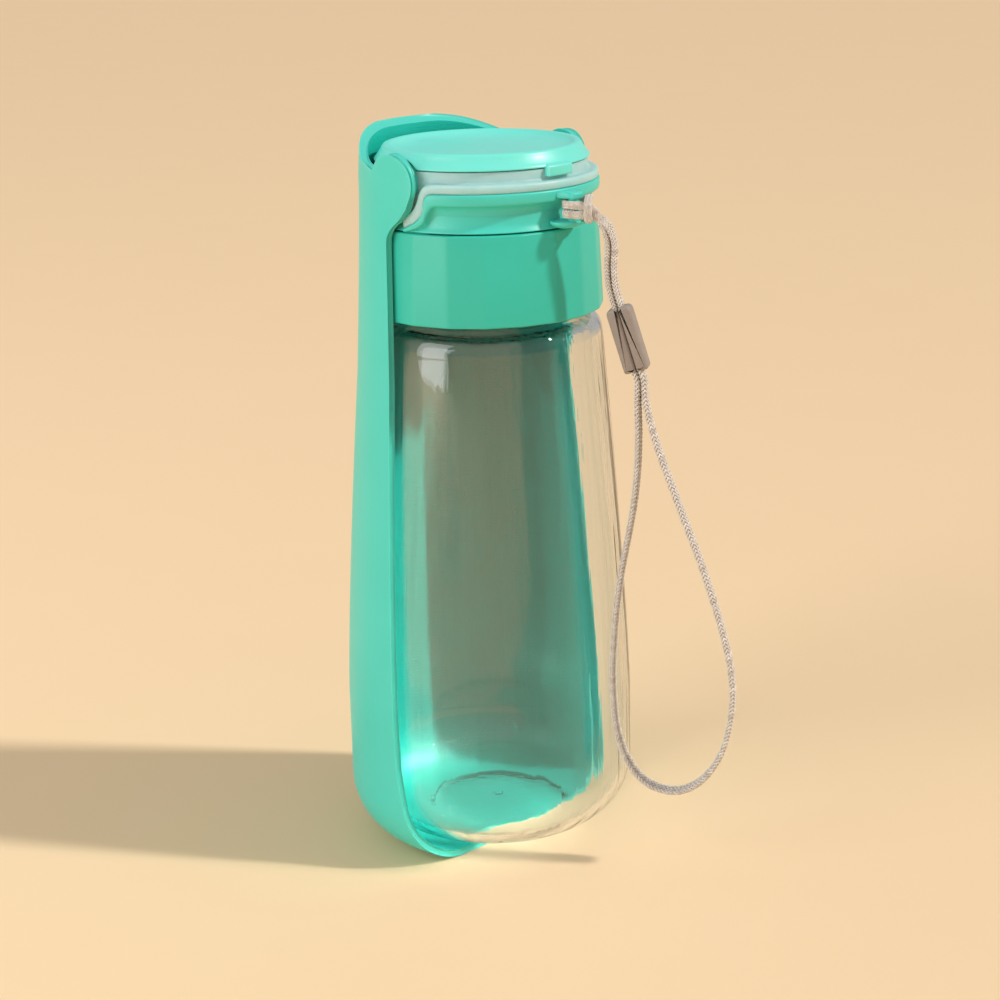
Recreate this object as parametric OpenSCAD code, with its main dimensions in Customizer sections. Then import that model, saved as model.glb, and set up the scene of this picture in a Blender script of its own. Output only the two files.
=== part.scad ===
// Dog travel water bottle with a drinking trough that swings over its lid.
// Z is up, the bottle's axis is X = Y = 0, the trough stands behind at -X and its floor rests on Z = 0.

/* [Bottle] */
// Widest diameter of the clear bottle
bottle_d = 81.8; // [79:0.2:84]
// Diameter where the body ends and the shoulder begins
shoulder_d = 67.4; // [66:0.2:68.4]
// Height from the bottle's base to the shoulder
body_h = 148.1; // [130:1:170]
// Height at which the body is widest, above the base
belly_h = 41; // [34:1:55]
// Radius of the rounded bottom corner
base_corner_r = 18; // [16:0.5:19]
// Height of the hollow moulded into the underside
punt_h = 3; // [2:0.2:5]
// Wall thickness of the bottle
bottle_wall = 2.2; // [1.6:0.1:2.6]
// Height of the shoulder between body and neck
shoulder_h = 7.3; // [6.5:0.1:9]
// Outside diameter of the neck
neck_d = 52.8; // [51.6:0.2:53]
// Wall thickness of the neck
neck_wall = 2.4; // [1.8:0.1:2.6]
// Height of the neck
neck_h = 22; // [20:0.5:26]

/* [Lock collar] */
// Height of the faceted collar
collar_h = 25.3; // [24:0.1:25.4]
// How far the collar's upper edge stands out from the head's foot
collar_out = 0.8; // [0.5:0.1:0.8]
// How much its lower edge stands out from its upper one
collar_taper = 1.2; // [0.9:0.1:1.2]
// Number of grip facets
facets = 20; // [16:1:24]
// Angle at which the first corner between two facets lies
facet_turn = 11; // [0:1:18]
// Room between the neck and the collar's wall for the lugs
collar_room = 3.6; // [3.3:0.1:3.9]
// Number of locking lugs
lugs = 3; // [3:1:4]
// Angle that one lug covers
lug_deg = 40; // [30:1:42]
// Height of one lug
lug_h = 3; // [2.5:0.1:3.4]

/* [Head] */
// How far the head's waist stands out from the neck
head_wall = 4.1; // [3.9:0.1:4.6]
// How far the head's foot stands out from its waist
foot_flare = 1.4; // [1.1:0.1:1.6]
// How far the front flange stands out from the waist
flange_out = 2.5; // [2.2:0.1:2.8]
// Thickness of the front flange at its edge
flange_t = 3.4; // [3:0.1:4]
// Height from the seam to the top of the flange
head_h = 10.8; // [10.6:0.1:12]
// Height of the upstand that the lid closes on
upstand_h = 5.2; // [5:0.1:5.4]
// How much smaller the pouring mouth's radius is than the neck's
mouth_in = 5; // [4.6:0.1:6.4]
// Wall thickness of the pouring tube
tube_wall = 1.8; // [1.4:0.1:2]
// Thickness of the neck gasket
gasket_t = 1.5; // [1.2:0.1:2]

/* [Strap post] */
// Distance of the post's centre from the flange's edge
post_out = 3; // [2.8:0.1:3.6]
// Radius of the post
post_r = 1.6; // [1.4:0.1:1.7]
// Free height of the post
post_h = 6; // [5.8:0.1:6.2]

/* [Seal] */
// Thickness of the soft seal's wall
seal_wall = 1.5; // [1.2:0.1:1.6]
// Thickness of the ledge on the flange
ledge_t = 2.4; // [1.8:0.1:2.8]

/* [Lid] */
// How far the lid's edge lies inside the head's waist
lid_edge = 0; // [0:0.1:0.5]
// Height of the lid
lid_h = 4.4; // [4.2:0.1:5]
// Width of the lid's rim around the dish
lid_rim = 3.9; // [3.6:0.1:4.3]
// How far the lid's side leans in
lid_slope = 2.4; // [1.5:0.1:2.5]
// Depth of the dish
dish_h = 1.9; // [1.4:0.1:2.1]
// Width of the finger tab
tab_w = 9.5; // [7:0.5:14]
// Height of the finger tab under the lid's edge
tab_h = 2.6; // [1.6:0.1:2.8]
// Thickness of the finger tab
tab_t = 1.3; // [1:0.1:1.8]
// How far the hinge pin lies inside the lid's edge
hinge_in = 4.1; // [3.8:0.1:4.3]
// Radius of the hinge pin
lid_pin_r = 1.1; // [0.9:0.05:1.2]

/* [Trough] */
// Wall thickness of the trough's body
trough_wall = 2; // [1.8:0.1:2.2]
// Running space between bottle and trough
side_gap = 0.8; // [0.7:0.1:1.4]
// Thickness of the trough's floor
floor_t = 1.9; // [1.6:0.1:2.2]
// Space between the trough's floor and the bottle
base_gap = 3; // [1.7:0.1:3.2]
// Radius of the trough's rounded bottom corner
trough_corner_r = 19.2; // [18:0.2:19.4]
// How far the trough's floor reaches in front of the axis
floor_front = 9.6; // [6:0.2:9.8]
// Height of the back rim above the pivots
rim_h = 12.3; // [11:0.1:12.6]
// How far the arch leans in over the lid at its rim
arch_in = 1; // [0.8:0.1:1.3]
// Radius of the ears
ear_r = 7.5; // [7:0.1:8]
// Thickness of the ears
ear_t = 3; // [2.6:0.1:3]

/* [Pivots] */
// Height of the pivots above the flange
pivot_h = 2; // [1.8:0.1:2.2]
// Radius of the pivot pins
pin_r = 2.6; // [2.2:0.1:2.8]

/* [Strap] */
// Width of the flat braid
strap_w = 4.2; // [3.6:0.1:4.4]
// Thickness of the braid
strap_t = 1.4; // [1.1:0.1:1.5]
// Length of the clamp on the strap
clamp_l = 18.4; // [16:0.2:20]
// Width of the clamp
clamp_w = 7; // [6:0.1:8]
// Thickness of the clamp
clamp_t = 5.2; // [4.8:0.1:6]

/* [Hidden] */
$fn = 96;
fit = 0.3;      // clearance between pieces that move past each other
run = 0.05;     // radial clearance of a pin that turns in its bore
high = 300;     // taller than the whole object, for cuts
wide = 60;      // wider than half the object, for cuts

// Heights, from the trough's underside upwards
z_base = floor_t + base_gap;
z_shoulder = z_base + body_h;
z_neck = z_shoulder + shoulder_h;
z_rim = z_neck + neck_h;
z_collar = z_neck + 1.25;
z_seam = z_collar + collar_h;
z_head = z_seam + 0.4;
z_flange = z_head + head_h;
z_upstand = z_flange + upstand_h;
z_lid = z_upstand + 0.6;
z_pivot = z_flange + pivot_h;
z_lid_pin = z_lid + 0.9;

// Body of the bottle
bottle_r = bottle_d / 2;
shoulder_r = shoulder_d / 2;
neck_r = neck_d / 2;
belly_z = z_base + belly_h;
taper_power = 1.28;     // how the body narrows from its belly to its shoulder
body_steps = 12;

// Head's outline
head_waist_r = neck_r + head_wall;
head_low_r = head_waist_r + foot_flare;
flange_r = head_waist_r + flange_out;
mouth_r = neck_r - mouth_in;

// Collar and neck lugs
collar_top_r = head_low_r + collar_out;
collar_low_r = collar_top_r + collar_taper;
collar_bore_r = neck_r + collar_room;
lip_r = neck_r + 2.5;           // the collar's top lip runs on the head's sleeve
lip_h = 3.2;
lug_r = collar_bore_r - 0.8;    // outside of the neck lugs
lug_z = z_neck + 9;

// Head
sleeve_in_r = neck_r + fit;
sleeve_out_r = lip_r - fit;
sleeve_h = 6.3;
bead_r = lip_r + 0.7;
deck_t = 3.4;
tube_r = mouth_r + tube_wall;
upstand_r = head_waist_r - seal_wall - 0.6;
upstand_in_r = upstand_r - 1.5;
z_tube = z_rim + gasket_t;      // the pouring tube's flange lies on the gasket
deck_z = z_tube + 2.1;

// Side faces: the head ends at side_y and the ears run just outside it
side_y = head_waist_r + 0.9;
ear_y = side_y + fit;
ear_out_y = ear_y + ear_t;
trough_top_r = ear_out_y + 0.1;
hub_r = ear_r - 1.1;
hub_in_r = upstand_r - 0.4;
swing_r = ear_r + 2.1;  // the trough's inside is cleared this far round the pivots
flange_x = swing_r + 1; // the front flange starts here, clear of the ears
ledge_x = swing_r - 1.2;
arch_wall = 2.4;        // wall of the arch
rim_drop = 1.8;         // how much lower the rim's inner edge lies
pin_in_y = hub_in_r - 0.4;
pin_tip = 1.6;          // how deep the pin sits in the ear
oring_r = 0.55;
oring_y = side_y - 2.1;

// Lid
lid_r = head_waist_r - lid_edge;
dish_r = lid_r - lid_rim;
lid_hinge_x = lid_r - hinge_in;
lid_wall = 1.3;
liner_r = lid_r - 3.5;
knuckle_r = 2.2;
knuckle_in = 5.2;       // half the width of the head's knuckle, with its clearance
knuckle_out = 11.5;
plug_r = mouth_r - 0.6;
plug_h = 2.5;
notch_y = 15.5;
notch_z = z_lid_pin - 4.4;

// Strap post and the strap
post_x = flange_r + post_out;
post_top = z_flange - 2.5;
post_low = post_top - post_h;
foot_h = 2.2;           // rounded foot under the post
foot_r = 5.4;
post_lug_t = 1.9;       // lug that joins the post to the flange
post_lug_w = 6.8;
strap_deg = 33;         // the strap hangs in the upright plane that leaves the post at this angle
hitch_w = 2.2;
hitch_t = 1.2;
strand_w = strap_w - 0.8;       // the strands over the clamp are drawn narrower than the loop
clamp_top = [12.1, 166.1];
clamp_lean = 17;
strand_gap = 0.9;

// Points of an arc, from angle a to angle b
function arc(c, r, a, b, n) = [for (i = [0:n]) let (t = a + (b - a) * i / n)
    [c[0] + r * cos(t), c[1] + r * sin(t)]];

// Points of a quadratic curve
function bend(p, q, s, n) = [for (i = [0:n]) let (t = i / n)
    (1 - t) * (1 - t) * p + 2 * t * (1 - t) * q + t * t * s];

// Outside radius of the bottle between belly and shoulder
function body_r(z) = bottle_r
    - (bottle_r - shoulder_r) * pow((z - belly_z) / (z_shoulder - belly_z), taper_power);

// Heights between belly and shoulder, all but the last n of them
function body_heights(n) = [for (i = [0:body_steps - n]) belly_z + (z_shoulder - belly_z) * i / body_steps];

// Outline of the bottle, r and z, made smaller by d
function bottle_side(d) = concat(
    arc([bottle_r - base_corner_r, z_base + base_corner_r], base_corner_r - d, -90, 0, 12),
    [for (z = body_heights(0)) [body_r(z) - d, z]],
    bend([shoulder_r - d, z_shoulder], [shoulder_r - d, z_neck - 1 - d], [neck_r + 1, z_neck - 0.6 - d], 6)
);

// Hollow in the underside, r and z, raised by d
function bottle_punt(d) = let (foot_r = bottle_r - base_corner_r - 2)
    bend([5, z_base + punt_h + d], [17, z_base + punt_h + d], [foot_r, z_base + d], 6);

module bottle_body() {
    color("powderblue", 0.45) {
        rotate_extrude() polygon(concat(
            [[0, z_base + punt_h]],
            bottle_punt(0),
            bottle_side(0),
            [[neck_r, z_neck + 0.2], [neck_r, z_rim]],
            [[neck_r - neck_wall, z_rim], [neck_r - neck_wall, z_neck - 1.5]],
            reverse_of(bottle_side(bottle_wall)),
            reverse_of(bottle_punt(bottle_wall)),
            [[0, z_base + punt_h + bottle_wall]]
        ));
        neck_lugs();
    }
}

function reverse_of(list) = [for (i = [len(list) - 1:-1:0]) list[i]];

module neck_lugs() {
    lug_ring(neck_r - 0.6, lug_r, lug_z);
}

// Lugs spread round the axis, from radius r1 to r2, standing on height z
module lug_ring(r1, r2, z) {
    for (i = [0:lugs - 1]) rotate([0, 0, i * 360 / lugs - lug_deg / 2])
        rotate_extrude(angle = lug_deg) translate([r1, z]) square([r2 - r1, lug_h]);
}

module neck_gasket() {
    color("whitesmoke") translate([0, 0, z_rim]) ring(neck_r - 0.2, neck_r - neck_wall + 0.2, gasket_t);
}

module ring(outer, inner, h) {
    difference() {
        cylinder(r = outer, h = h);
        translate([0, 0, -1]) cylinder(r = inner, h = h + 2);
    }
}

module lock_collar() {
    half = 180 / facets;
    lean = atan((collar_low_r - collar_top_r) / collar_h);
    color("mediumaquamarine") {
        difference() {
            translate([0, 0, z_collar]) cylinder(r1 = collar_low_r, r2 = collar_top_r, h = collar_h);
            for (i = [0:facets - 1]) rotate([0, 0, facet_turn + (i + 0.5) * 2 * half])
                translate([collar_low_r * cos(half), -10, z_collar]) rotate([0, -lean, 0])
                    translate([0, 0, -5]) cube([10, 20, collar_h + 10]);
            translate([0, 0, z_collar - 1]) cylinder(r = collar_bore_r, h = collar_h - lip_h + 1);
            translate([0, 0, z_collar - 1]) cylinder(r = lip_r, h = collar_h + 2);
        }
        lug_ring(neck_r + 0.6, collar_bore_r + 0.6, lug_z - fit - lug_h);
    }
}

// Outline of the head's turned body, r and z
function head_side() = concat(
    [[sleeve_in_r, z_head - sleeve_h], [bead_r - 0.7, z_head - sleeve_h], [bead_r, z_head - sleeve_h + 0.6],
     [bead_r, z_seam - lip_h - fit - 0.4], [sleeve_out_r, z_seam - lip_h - fit], [sleeve_out_r, z_head]],
    bend([head_low_r, z_head], [head_waist_r, z_head + 1.5], [head_waist_r, z_head + 4.5], 5),
    [[head_waist_r, z_flange], [upstand_r, z_flange], [upstand_r, z_upstand], [upstand_in_r, z_upstand],
     [upstand_in_r, deck_z + deck_t], [tube_r + 0.1, deck_z + deck_t], [tube_r + 0.1, deck_z],
     [sleeve_in_r, deck_z]]
);

// Outline of the front flange, r and z
function flange_side() = concat(
    [[head_waist_r - 1, z_flange], [head_waist_r - 1, z_flange - flange_t - 2.6]],
    bend([head_waist_r, z_flange - flange_t - 2.4], [head_waist_r + 0.3, z_flange - flange_t - 0.6],
         [flange_r - 0.9, z_flange - flange_t], 4),
    arc([flange_r - 0.9, z_flange - flange_t + 0.9], 0.9, -60, 0, 3),
    arc([flange_r - 0.5, z_flange - 0.5], 0.5, 0, 90, 3)
);

// Side view of the sweep under the ear, X and height from the pivot: the seal's lower edge
function sweep_seal() = concat(
    [[12, 0.5 - pivot_h], [12, -pivot_h]],
    bend([11.2, -pivot_h - 0.2], [9.7, -pivot_h - 0.8], [9.9, -5], 4),
    bend([9.7, -6.4], [8.8, -9.6], [3, -11.8], 5)
);

// The same sweep, the flange's lower edge
function sweep_flange() = concat(
    [[13, 0.5 - pivot_h], [13, -pivot_h - flange_t - 0.4]],
    bend([12.6, -6], [11.4, -7.2], [10.8, -8.6], 3),
    bend([10.2, -9.8], [8, -12], [3, -12.9], 4)
);

// Area between the ear's swing and an edge of the sweep
module sweep_area(edge) {
    polygon(concat(edge, [[3, -8.4]], arc([0, 0], 8.4, -60, -14, 5), [[8.3, 0.5 - pivot_h]]));
}

// An outline drawn in X and Z, made solid from y = -w to w
module across(w) {
    rotate([90, 0, 0]) linear_extrude(2 * w, center = true) children();
}

module both_sides() {
    children();
    mirror([0, 1, 0]) children();
}

module head_shell() {
    color("mediumaquamarine") difference() {
        union() {
            rotate_extrude() polygon(head_side());
            intersection() {
                rotate_extrude() polygon(flange_side());
                translate([flange_x, -side_y, 0]) cube([wide, 2 * side_y, high]);
            }
            intersection() {
                translate([0, 0, z_pivot]) across(side_y) difference() {
                    sweep_area(sweep_flange());
                    sweep_area(sweep_seal());
                }
                translate([0, 0, z_head]) ring(flange_r, head_waist_r - 1.5, head_h);
            }
            hubs();
            strap_post();
            hinge_knuckle();
        }
        both_sides() translate([0, -pin_in_y + 1, z_pivot]) rotate([90, 0, 0])
            cylinder(r = pin_r + run, h = 10);
        both_sides() translate([0, -oring_y + oring_r + 0.1, z_pivot]) rotate([90, 0, 0])
            cylinder(r = pin_r + run + 2 * oring_r, h = 2 * oring_r + 0.2);
        translate([0, 0, post_low]) slot_behind_post();
        seal_sweep();
        hinge_notch(upstand_in_r + 4);
        along_hinge(lid_pin_r + run, 2 * knuckle_in);
    }
}

// Round hubs on both sides of the head that carry the pivot pins
module hubs() {
    both_sides() difference() {
        translate([0, 0, z_pivot]) rotate([90, 0, 0]) cylinder(r = hub_r, h = side_y);
        cylinder(r = hub_in_r, h = high);
    }
}

// Bar, the rounded foot under it and the lug over it that joins the flange
module strap_post() {
    translate([post_x, 0, post_low - 0.8]) cylinder(r = post_r, h = post_h + 1.6);
    intersection() {
        translate([post_x - 2, 0, post_low]) rotate_extrude() polygon(concat(
            [[0, -foot_h]], bend([1, -foot_h], [foot_r - 0.2, 0.2 - foot_h], [foot_r, 0], 5), [[0, 0]]));
        translate([head_waist_r - 1, -6, 0]) cube([post_x + post_r + 0.2 - head_waist_r + 1, 12, high]);
    }
    hull() {
        translate([post_x, 0, post_top]) cylinder(r = post_r + 0.5, h = post_lug_t, $fn = 32);
        translate([flange_r - 2, -post_lug_w / 2, post_top]) cube([0.1, post_lug_w, post_lug_t]);
    }
}

module slot_behind_post() {
    translate([head_waist_r + 0.2, -4.5, 0]) cube([post_x - post_r - head_waist_r - 0.2, 9, post_h]);
}

// The head's knuckle under the back edge of the lid
module hinge_knuckle() {
    w = 2 * (knuckle_in - 0.5);
    along_hinge(2, w);
    translate([-upstand_r, -w / 2, notch_z]) cube([3.4, w, z_lid_pin - notch_z]);
}

// Room at the back of the head for the lid's hinge
module hinge_notch(r) {
    difference() {
        translate([-r - 1, -notch_y, notch_z]) cube([r + 1 - lid_hinge_x + 2.8, 2 * notch_y, 20]);
        translate([-r - 2, -knuckle_in + 0.5, notch_z - 1]) cube([r, 2 * knuckle_in - 1, 30]);
    }
}

module pour_tube() {
    color("ghostwhite") difference() {
        union() {
            translate([0, 0, z_tube]) cylinder(r = tube_r, h = z_upstand - 0.5 - z_tube);
            translate([0, 0, z_tube]) cylinder(r = sleeve_in_r - 0.2, h = deck_z - z_tube);
        }
        cylinder(r = mouth_r, h = high);
    }
}

// The seal's sweep under each ear, let into the head
module seal_sweep() {
    intersection() {
        translate([0, 0, z_pivot]) across(side_y) sweep_area(sweep_seal());
        translate([0, 0, z_head]) ring(flange_r - 0.3, head_waist_r, head_h + 0.5);
    }
}

// Soft seal round the front of the mouth, with a ledge on the flange and a sweep under each ear
module seal_skirt() {
    color("azure", 0.7) difference() {
        union() {
            intersection() {
                translate([0, 0, z_flange]) ring(upstand_r + seal_wall, upstand_r, upstand_h + 0.3);
                translate([0, -side_y, 0]) cube([wide, 2 * side_y, high]);
            }
            intersection() {
                translate([0, 0, z_flange]) ring(flange_r - 0.3, upstand_r, ledge_t);
                translate([ledge_x, -side_y, 0]) cube([wide, 2 * side_y, high]);
            }
            seal_sweep();
        }
        both_sides() translate([0, -upstand_in_r, z_pivot]) rotate([90, 0, 0]) cylinder(r = hub_r, h = 10);
    }
}

module pivot_oring(side) {
    color("dimgray") translate([0, side * oring_y, z_pivot]) rotate([90, 0, 0])
        rotate_extrude() translate([pin_r + run + oring_r, 0]) circle(r = oring_r - 0.02, $fn = 24);
}

// Outline of the lid, r and z
function lid_side() = let (top = z_lid + lid_h, dish = top - dish_h, under = dish - lid_wall) concat(
    [[lid_r - 0.3, z_lid], [lid_r, z_lid + 0.4], [lid_r - lid_slope, top - 1.3]],
    bend([lid_r - lid_slope - 0.1, top - 0.9], [lid_r - lid_slope - 0.5, top], [dish_r, top], 4),
    bend([dish_r - 0.6, top - 0.2], [dish_r - 2, dish], [dish_r - 6, dish], 5),
    [[0, dish], [0, under], [liner_r + 0.2, under], [liner_r + 0.2, z_lid]]
);

module lid_cap() {
    color("aquamarine") difference() {
        union() {
            rotate_extrude() polygon(lid_side());
            finger_tab();
            for (s = [-1, 1]) translate([-lid_hinge_x, s * (knuckle_in + knuckle_out) / 2, z_lid_pin])
                rotate([90, 0, 0]) cylinder(r = knuckle_r, h = knuckle_out - knuckle_in, center = true);
        }
        both_sides() translate([0, -upstand_in_r, z_pivot]) rotate([90, 0, 0])
            cylinder(r = hub_r + 0.5, h = 10);
        along_hinge(2.4, 2 * knuckle_in);
        translate([-lid_hinge_x - 10, -knuckle_in, z_lid_pin - 5]) cube([12.4, 2 * knuckle_in, 7.3]);
        lid_pin_shape();
    }
}

// A cylinder on the lid's hinge axis
module along_hinge(r, h) {
    translate([-lid_hinge_x, 0, z_lid_pin]) rotate([90, 0, 0]) cylinder(r = r, h = h, center = true);
}

module lid_pin_shape() {
    along_hinge(lid_pin_r, 2 * knuckle_out - 2);
}

module finger_tab() {
    intersection() {
        union() {
            translate([0, 0, z_lid - tab_h]) ring(lid_r + tab_t, lid_r, tab_h + 0.9);
            translate([0, 0, z_lid]) ring(lid_r + tab_t, lid_r - 1.5, 0.9);
        }
        translate([0, -tab_w / 2, 0]) cube([wide, tab_w, high]);
    }
}

// Flat plate inside the lid that carries the plug
module lid_liner() {
    h = lid_h - dish_h - lid_wall;
    color("gainsboro") intersection() {
        translate([0, 0, z_lid]) cylinder(r = liner_r, h = h);
        translate([-lid_hinge_x + 3, -wide, 0]) cube([2 * wide, 2 * wide, high]);
    }
}

module lid_plug() {
    color("azure", 0.8) translate([0, 0, z_lid]) rotate_extrude() polygon([
        [0, -0.6], [plug_r - 1.6, -0.6], [plug_r - 1.8, -plug_h - 0.6], [plug_r - 0.7, -plug_h - 0.6],
        [plug_r, -1.2], [plug_r, -0.8], [tube_r + 0.3, -0.8], [tube_r + 0.3, 0], [0, 0]]);
}

module lid_hinge_pin() {
    color("silver") lid_pin_shape();
}

// Outside radius of the trough where it follows the bottle
function trough_r(z) = body_r(z) + side_gap + trough_wall;

// Outline of the trough's wall, r and z, d inside its outer face
function trough_side(d) = let (belly = bottle_r + side_gap + trough_wall, top_d = d * 0.95) concat(
    arc([belly - trough_corner_r, trough_corner_r], trough_corner_r - d, -90, 0, 12),
    [[belly - d, belly_z - 8]],
    [for (z = body_heights(1)) [trough_r(z) - d, z]],
    [[collar_low_r + 2.4 - top_d, z_collar], [collar_top_r + 2.6 - top_d, z_seam - 5],
     [collar_top_r + 2.4 - top_d, z_seam + 1], [trough_top_r - (d > 0 ? arch_wall : 0), z_head + 6]],
    [for (k = [0:6]) let (z = z_pivot + rim_h * k / 6)
        [trough_top_r - arch_lean(z) - (d > 0 ? arch_wall : 0), z - (d > 0 ? rim_drop * k / 6 : 0)]]
);

// How far the arch leans in at height z
function arch_lean(z) = arch_in * pow(max(z - z_pivot, 0) / rim_h, 1.15);

// Side view of the trough: floor, front edge, S-curve, ear, notch and back rim
function trough_view() = concat(
    [[floor_front - 0.6, 0], [floor_front, 1]],
    reverse_of(bend([3.7, 31], [5.6, 19], [floor_front, 1.6], 6)),
    [[-2, z_pivot - 17]],
    [for (p = [[-1.8, -14.6], [-0.9, -12.6], [0.9, -10.6], [3.2, -8.9], [5.2, -6.6]]) p + [0, z_pivot]],
    arc([0, z_pivot], ear_r, -30, 156, 18),
    [for (p = [[-7.7, 2.7], [-9, 2.9], [-12.7, 3.5], [-15.2, 4], [-17.3, 4.8], [-19.3, 5.7], [-21.3, 6.7],
               [-22.9, 7.6], [-26, 9.3], [-28.7, 10.6], [-30.7, 11.4]]) p + [0, z_pivot]],
    [[-32.3, z_pivot + rim_h - 0.3], [-33, z_pivot + rim_h], [-60, z_pivot + rim_h], [-60, 0]]
);

module trough_shell() {
    color("mediumaquamarine") difference() {
        intersection() {
            union() {
                rotate_extrude() polygon(concat(
                    [[0, 0]], trough_side(0), reverse_of(trough_side(trough_wall)), [[0, floor_t]]));
                both_sides() intersection() {
                    translate([-12, -ear_out_y, z_head + 1.2]) cube([24, ear_t, 30]);
                    cylinder(r = trough_top_r, h = high);
                }
            }
            across(wide) polygon(trough_view());
        }
        translate([0, 0, z_pivot]) rotate([90, 0, 0]) cylinder(r = swing_r, h = 2 * ear_y, center = true);
        both_sides() translate([0, -pin_in_y, z_pivot]) rotate([90, 0, 0])
            cylinder(r = pin_r, h = ear_y + pin_tip - pin_in_y);
    }
}

module pivot_pin(side) {
    color("silver") translate([0, side * pin_in_y, z_pivot]) rotate([-side * 90, 0, 0])
        cylinder(r = pin_r, h = ear_y + pin_tip - pin_in_y);
}

// Frame of the strap's plane: s away from the post, n across the plane
along = [cos(strap_deg), sin(strap_deg), 0];
across_dir = [-sin(strap_deg), cos(strap_deg), 0];
function in_plane(p) = [post_x, 0, 0] + p[0] * along + p[1] * across_dir + [0, 0, p[2]];

// Where the strands meet the clamp, u to the side of its middle and v along its axis
function at_clamp(u, v) = [clamp_top[0] + u * cos(clamp_lean) - v * sin(clamp_lean), 0,
                           clamp_top[1] + u * sin(clamp_lean) + v * cos(clamp_lean)];

// Route of the hitch: away from the post, across the plane, height, and the section's turn
hitch_route = [
    [9.5, -0.1, 172.4, 1], [9.1, -0.2, 177.4, 1], [9.4, -0.4, 182.4, 1], [8.9, -0.8, 186.7, 0.7],
    [7.4, -1.3, 190.2, 0.3], [5.4, -1.8, 192.9, 0], [3, -2.3, 193.9, 0], [0, -2.5, 194.1, 0],
    [-1.8, -1.8, 194.1, 0], [-2.5, 0, 194.1, 0], [-1.8, 1.8, 194.1, 0], [0, 2.5, 194.1, 0],
    [2.4, 2.5, 194.7, 0], [4, 1, 195.7, -0.5], [4.5, -1.2, 196.2, -1], [4.6, -3, 195.2, -1],
    [4.6, -3.7, 192.8, -1], [4.6, -3.1, 190.4, -1], [4.5, -1.2, 189.8, -1], [4, 1, 190.4, -0.5],
    [2.4, 2.5, 191.1, 0], [0, 2.5, 191.6, 0], [-1.8, 1.8, 191.6, 0], [-2.5, 0, 191.6, 0],
    [-1.8, -1.8, 191.6, 0], [0, -2.5, 191.6, 0], [3, -2.3, 191.4, 0], [5.6, -1.7, 191.2, 0],
    [8.1, -1.1, 189.9, 0.4], [10.3, -0.6, 187.1, 0.8], [11.3, 0, 182.4, 1], [11, 0.1, 177.4, 1],
    [11.3, 0.1, 172.4, 1]
];

// Route of the hand loop in the plane: away from the post and height
loop_route = [
    [17.4, 139.5], [17.6, 130.5], [17.3, 120.5], [16.3, 110.4], [14.6, 100.3], [12.7, 90.2],
    [11.3, 80.1], [10.4, 69.9], [9.9, 59.8], [10.2, 49.5], [11.2, 40.9], [13.6, 33.2], [17.5, 27.3],
    [22.6, 24.1], [28.7, 23.5], [34.1, 26], [38.5, 30.8], [41.9, 37.5], [43.8, 45.7], [44.5, 54.9],
    [43.6, 64], [41.5, 73.2], [38.4, 83.8], [34.5, 95.4], [30, 107.4], [25.5, 119.5], [21.8, 130.5],
    [19.7, 139.5]
];

// Corners of the braid's section as shares of half its width and half its thickness
section_corners = [
    [1, 0.45], [0.8, 1], [-0.8, 1], [-1, 0.45], [-1, -0.45], [-0.8, -1], [0.8, -1], [1, -0.45]
];
function section(w, t) = [for (p = section_corners) [p[0] * w / 2, p[1] * t / 2]];

function unit(v) = v / norm(v);

// Rings of a flat tube along pts, each with its own wide direction and size
function rings(pts, wide, ws, ts) = [for (i = [0:len(pts) - 1]) let (
    a = pts[max(i - 1, 0)], b = pts[min(i + 1, len(pts) - 1)], t = unit(b - a),
    w = unit(wide[i] - (wide[i] * t) * t), h = cross(t, w)
) [for (p = section(ws[i], ts[i])) pts[i] + p[0] * w + p[1] * h]];

module flat_tube(all_rings) {
    n = len(all_rings);
    polyhedron(
        points = [for (r = all_rings) each r],
        faces = concat(
            [[for (k = [0:7]) k], [for (k = [7:-1:0]) (n - 1) * 8 + k]],
            [for (i = [0:n - 2], k = [0:7]) [i * 8 + k, (i + 1) * 8 + k, (i + 1) * 8 + (k + 1) % 8]],
            [for (i = [0:n - 2], k = [0:7]) [i * 8 + k, (i + 1) * 8 + (k + 1) % 8, i * 8 + (k + 1) % 8]]
        )
    );
}

// Wide direction of the hitch's section: 0 upright, 1 across the plane, -1 away from the post
function wide_dir(k) = k >= 0 ? (1 - k) * [0, 0, 1] + k * across_dir : (1 + k) * [0, 0, 1] - k * along;

module strap_hitch() {
    pts = concat([at_clamp(-strand_gap, 0), at_clamp(-strand_gap, 3)], [for (p = hitch_route) p], [
        at_clamp(strand_gap, 3), at_clamp(strand_gap, 0)]);
    turn = concat([1, 1], [for (p = hitch_route) p[3]], [1, 1]);
    ease = [for (k = turn) max(k, 0)];
    color("silver") flat_tube(rings(
        [for (p = pts) in_plane(p)], [for (k = turn) wide_dir(k)],
        [for (e = ease) hitch_w + (strand_w - hitch_w) * e],
        [for (e = ease) hitch_t + (strap_t - hitch_t) * e]));
}

module strap_loop() {
    pts = concat([at_clamp(-strand_gap, -clamp_l), at_clamp(-strand_gap, -clamp_l - 3)],
        [for (p = loop_route) [p[0], 0, p[1]]],
        [at_clamp(strand_gap, -clamp_l - 3), at_clamp(strand_gap, -clamp_l)]);
    color("silver") flat_tube(rings(
        [for (p = pts) in_plane(p)], [for (p = pts) across_dir],
        [for (p = pts) strap_w], [for (p = pts) strap_t]));
}

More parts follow.
